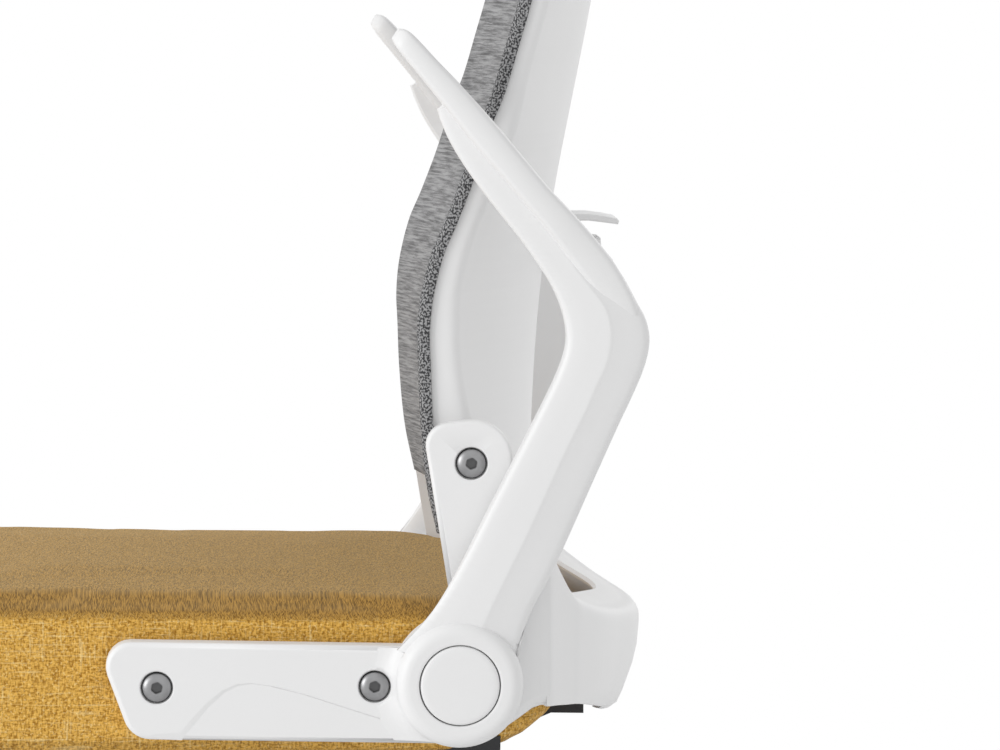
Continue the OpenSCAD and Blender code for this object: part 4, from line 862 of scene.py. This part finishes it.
bm = bmesh.new()
bmesh.ops.create_grid(bm, x_segments=120, y_segments=110, size=1)
reaches = []
for v in bm.verts:
    u, t = v.co.x, (v.co.y + 1) / 2
    z = BACK_TOP - 1 if t > 0.999 else BACK_LOW + 1 + (BACK_TOP - 3.2 - BACK_LOW) * t
    x, y = net_point(u, z)
    v.co = from_hub(x, y, z)
    reaches.append(abs(u))
for f in bm.faces:
    f.smooth = True
net_finish = Finish("grey_net", Roughness=0.7, Specular_IOR_Level=0.25)
x, y, z = net_finish.axes(net_finish.place())
spread = x + y
rib = net_finish.noise(net_finish.joined(spread * 26, z * 640, 2.0), 1.0, 3.0, 0.65)
broad = net_finish.noise(net_finish.joined(spread * 9, z * 150, 5.0), 1.0, 2.0)
cell = net_finish.noise(net_finish.joined(spread * 1500, z * 900, 1.0), 1.0, 1.0)
tape = net_finish.add("Attribute", {"attribute_name": "tape"}, {}, out="Fac")
speck = net_finish.noise(net_finish.joined(spread * 700, z * 700, 3.0), 1.0, 1.0, 0.4)
knit = (rib * 0.62 + broad * 0.2 + cell * 0.18).step(0.36, 0.64)
net_tone = net_finish.mix(knit, (0.11, 0.11, 0.112), (0.40, 0.40, 0.405))
tape_tone = net_finish.mix(speck.step(0.42, 0.6), (0.04, 0.04, 0.042), (0.34, 0.34, 0.345))
net_finish.give(
    Base_Color=net_finish.mix(tape, net_tone, tape_tone),
    Normal=net_finish.bump(rib * 0.7 + cell * 0.3, 0.0010, 0.8))
net = made("back_net", bm, net_finish.material)
strip = net.data.attributes.new("tape", "FLOAT", "POINT")
strip.data.foreach_set("value", [1.0 if u > BEND else 0.0 for u in reaches])
thick = net.modifiers.new("thick", "SOLIDIFY")
thick.thickness, thick.offset = 0.0014, 0
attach(net, "seat")
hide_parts("back_mesh")

# Lumbar tab: a thin curved blade behind the shell, which moves the pad inside up and down,
# with finger steps moulded under it.
BLADE = [
    (70, 271.2), (80, 272.6), (92, 272.6), (102, 271.4), (110.5, 269.8), (112, 268), (111.2, 265.8),
    (101, 267.2), (92, 268.3), (84, 268.2), (78, 265), (76.5, 258), (100, 257), (100.5, 251), (96.5, 250.5),
    (103, 249), (108, 243), (107.4, 239.6), (99, 239.4), (98.4, 235), (66, 234), (66, 262)]
# X and how far the outline is drawn in, for its soft ends
BLADE_ENDS = ((-26, 0.9), (-25.4, 0.25), (-24.6, 0), (24.6, 0), (25.4, 0.25), (26, 0.9))
STEM, STEM_HALF = [(60, 234.5), (72, 234.5), (72, 265.5), (60, 265.5)], 6
bm = bmesh.new()
carried_through(bm, [[(x, *p) for p in pulled_in(BLADE, d)] for x, d in BLADE_ENDS])
carried_through(bm, [[(x, *p) for p in STEM] for x in (-STEM_HALF, STEM_HALF)])
outward(bm)
smoothed(bm, 40)
made("lumbar_handle", bm, WHITE, "lumbar", ["lumbar_tab"])

# Rear band: a white nylon shell that sweeps from bracket to bracket behind the seat. It leans
# under towards the middle, and its top curls in as a broad flange that rises to a rim round a
# leaf-shaped opening.
BAND_WALL = 5
# from a side to the middle: x, y, lower edge, shoulder, the flange's reach inward, its rim, and
# how far the wall slopes under
BAND_ROWS = (
    (250.3, 54, -16, 84, 1.2, 85, 0), (247.5, 57.5, -16.3, 77, 1.4, 78, 0), (237, 63, -17, 65, 2, 66, 0),
    (222, 71, -18.5, 52.5, 8, 54, 0.5), (207, 79, -20, 46, 16, 49, 1.5), (168, 94, -26, 36.5, 28, 43, 5),
    (112, 108.5, -34, 29, 31, 37.5, 10), (60, 120, -41, 25, 30, 33.5, 16),
    (29, 124.6, -46, 23.7, 28, 31.5, 21), (0, 125.5, -48.5, 23.5, 27, 31, 24))
# up the wall: share of its height, and share of the slope under
BAND_UNDER = ((1, 0), (0.73, 0.06), (0.52, 0.2), (0.19, 0.5), (0.06, 0.7), (0, 0.93))
BAND_TURN = [math.radians(90 * k / 6) for k in range(7)]


def band_profile(low, top, reach, rim, under):
    """The wall from its lower edge up, round the shoulder and in along the flange.

    Each place has its reach inwards, its height, and how far the wall has turned over."""
    turn = min(9, reach * 0.6)
    path = [(share * under, low + (top - turn - low) * h, 0) for share, h in BAND_UNDER]
    path += [(turn * (1 - math.cos(a)), top - turn + turn * math.sin(a), 0.6 * a / BAND_TURN[-1])
             for a in BAND_TURN]
    for k in range(1, 6):
        t = k / 5
        rise = (rim - top) * (1.3 * t - 0.3 * t * t)
        path.append((turn + (reach - turn) * t, top + rise, 0.6 + 0.15 * t))
    return path


def band_section(at, out, edges, side):
    """The band's section at a place on its plan, across the way it runs there."""
    outer, inner = [], []
    for d, z, turn in band_profile(*edges):
        outer.append((at[0] - out.x * d, at[1] - out.y * d, z))
        d += BAND_WALL * (1 - turn)
        inner.append((at[0] - out.x * d, at[1] - out.y * d, z - BAND_WALL * turn))
    lip = Vector(outer[-1]) / 2 + Vector(inner[-1]) / 2
    sole = Vector(outer[0]) / 2 + Vector(inner[0]) / 2
    ring = outer + [(lip.x - out.x * 1.2, lip.y - out.y * 1.2, lip.z)]
    ring += inner[::-1] + [(sole.x, sole.y, sole.z - 0.6)]
    return [(side * x, y, z) for x, y, z in ring]


rows = between(BAND_ROWS, 6)
plan = [Vector(row[:2]) for row in rows]
quarter = []
for k, row in enumerate(rows):
    way = plan[k + 1] - plan[k - 1] if 0 < k < len(rows) - 1 else Vector((0, 1) if k == 0 else (-1, 0))
    quarter.append((plan[k], Vector((way.y, -way.x)).normalized(), row[2:]))
bm = bmesh.new()
carried_through(
    bm, [band_section(*q, 1) for q in quarter] + [band_section(*q, -1) for q in quarter[-2::-1]])
smoothed(bm, 40)
made("band", bm, WHITE, "seat", ["rear_band"])

# The frame under the net and the lumbar pad are nylon too, and keep their CAD shapes.
dressed(WHITE, "back_frame", "lumbar_pad")

# Tilt mechanism: a housing and a plate in black powder-coated steel, with the tension knob
# and the height lever in black nylon.
powder = Finish("powder_coat", Specular_IOR_Level=0.5)
spot = powder.place()
powder.give(
    Base_Color=powder.mix(powder.noise(spot, 30.0), (0.018, 0.018, 0.019), (0.030, 0.030, 0.031)),
    Roughness=0.36 + 0.16 * powder.noise(spot, 90.0),
    Normal=powder.bump(powder.noise(spot, 750.0, 2.0), 0.0003, 0.5))
dressed(powder.material, "mechanism_plate", "mechanism_housing", "column_tube")
dressed(BLACK, "tension_knob", "height_lever", "column_guide")
dressed(zinc.material, "band_screws", "left_pivot_bolt", "right_pivot_bolt", "plate_bolts", "tilt_pin",
        "tension_spring", "gas_cylinder", "piston_rod", "thrust_bearing")

# Base: a white nylon star on five twin-wheel casters, with black forks and wheels on steel axles.
dressed(WHITE, "star_base")
for k in range(1, 6):
    dressed(BLACK, "caster_%d_fork" % k, "caster_%d_wheel_a" % k, "caster_%d_wheel_b" % k)
    dressed(zinc.material, "caster_%d_axle" % k)

# Threaded inserts in turned brass, and pivot bushes in acetal.
brass = Finish("turned_brass", Metallic=1.0)
spot = brass.place()
brass.give(
    Base_Color=brass.mix(brass.noise(spot, 90.0), (0.52, 0.37, 0.12), (0.62, 0.46, 0.17)),
    Roughness=0.32 + 0.15 * brass.noise(spot, 400.0))
dressed(brass.material, "seat_inserts")
acetal = Finish("acetal", Specular_IOR_Level=0.4)
spot = acetal.place()
acetal.give(
    Base_Color=acetal.mix(acetal.noise(spot, 40.0), (0.56, 0.52, 0.40), (0.62, 0.58, 0.46)),
    Roughness=0.40 + 0.1 * acetal.noise(spot, 90.0))
dressed(acetal.material, "left_pivot_bush", "right_pivot_bush")
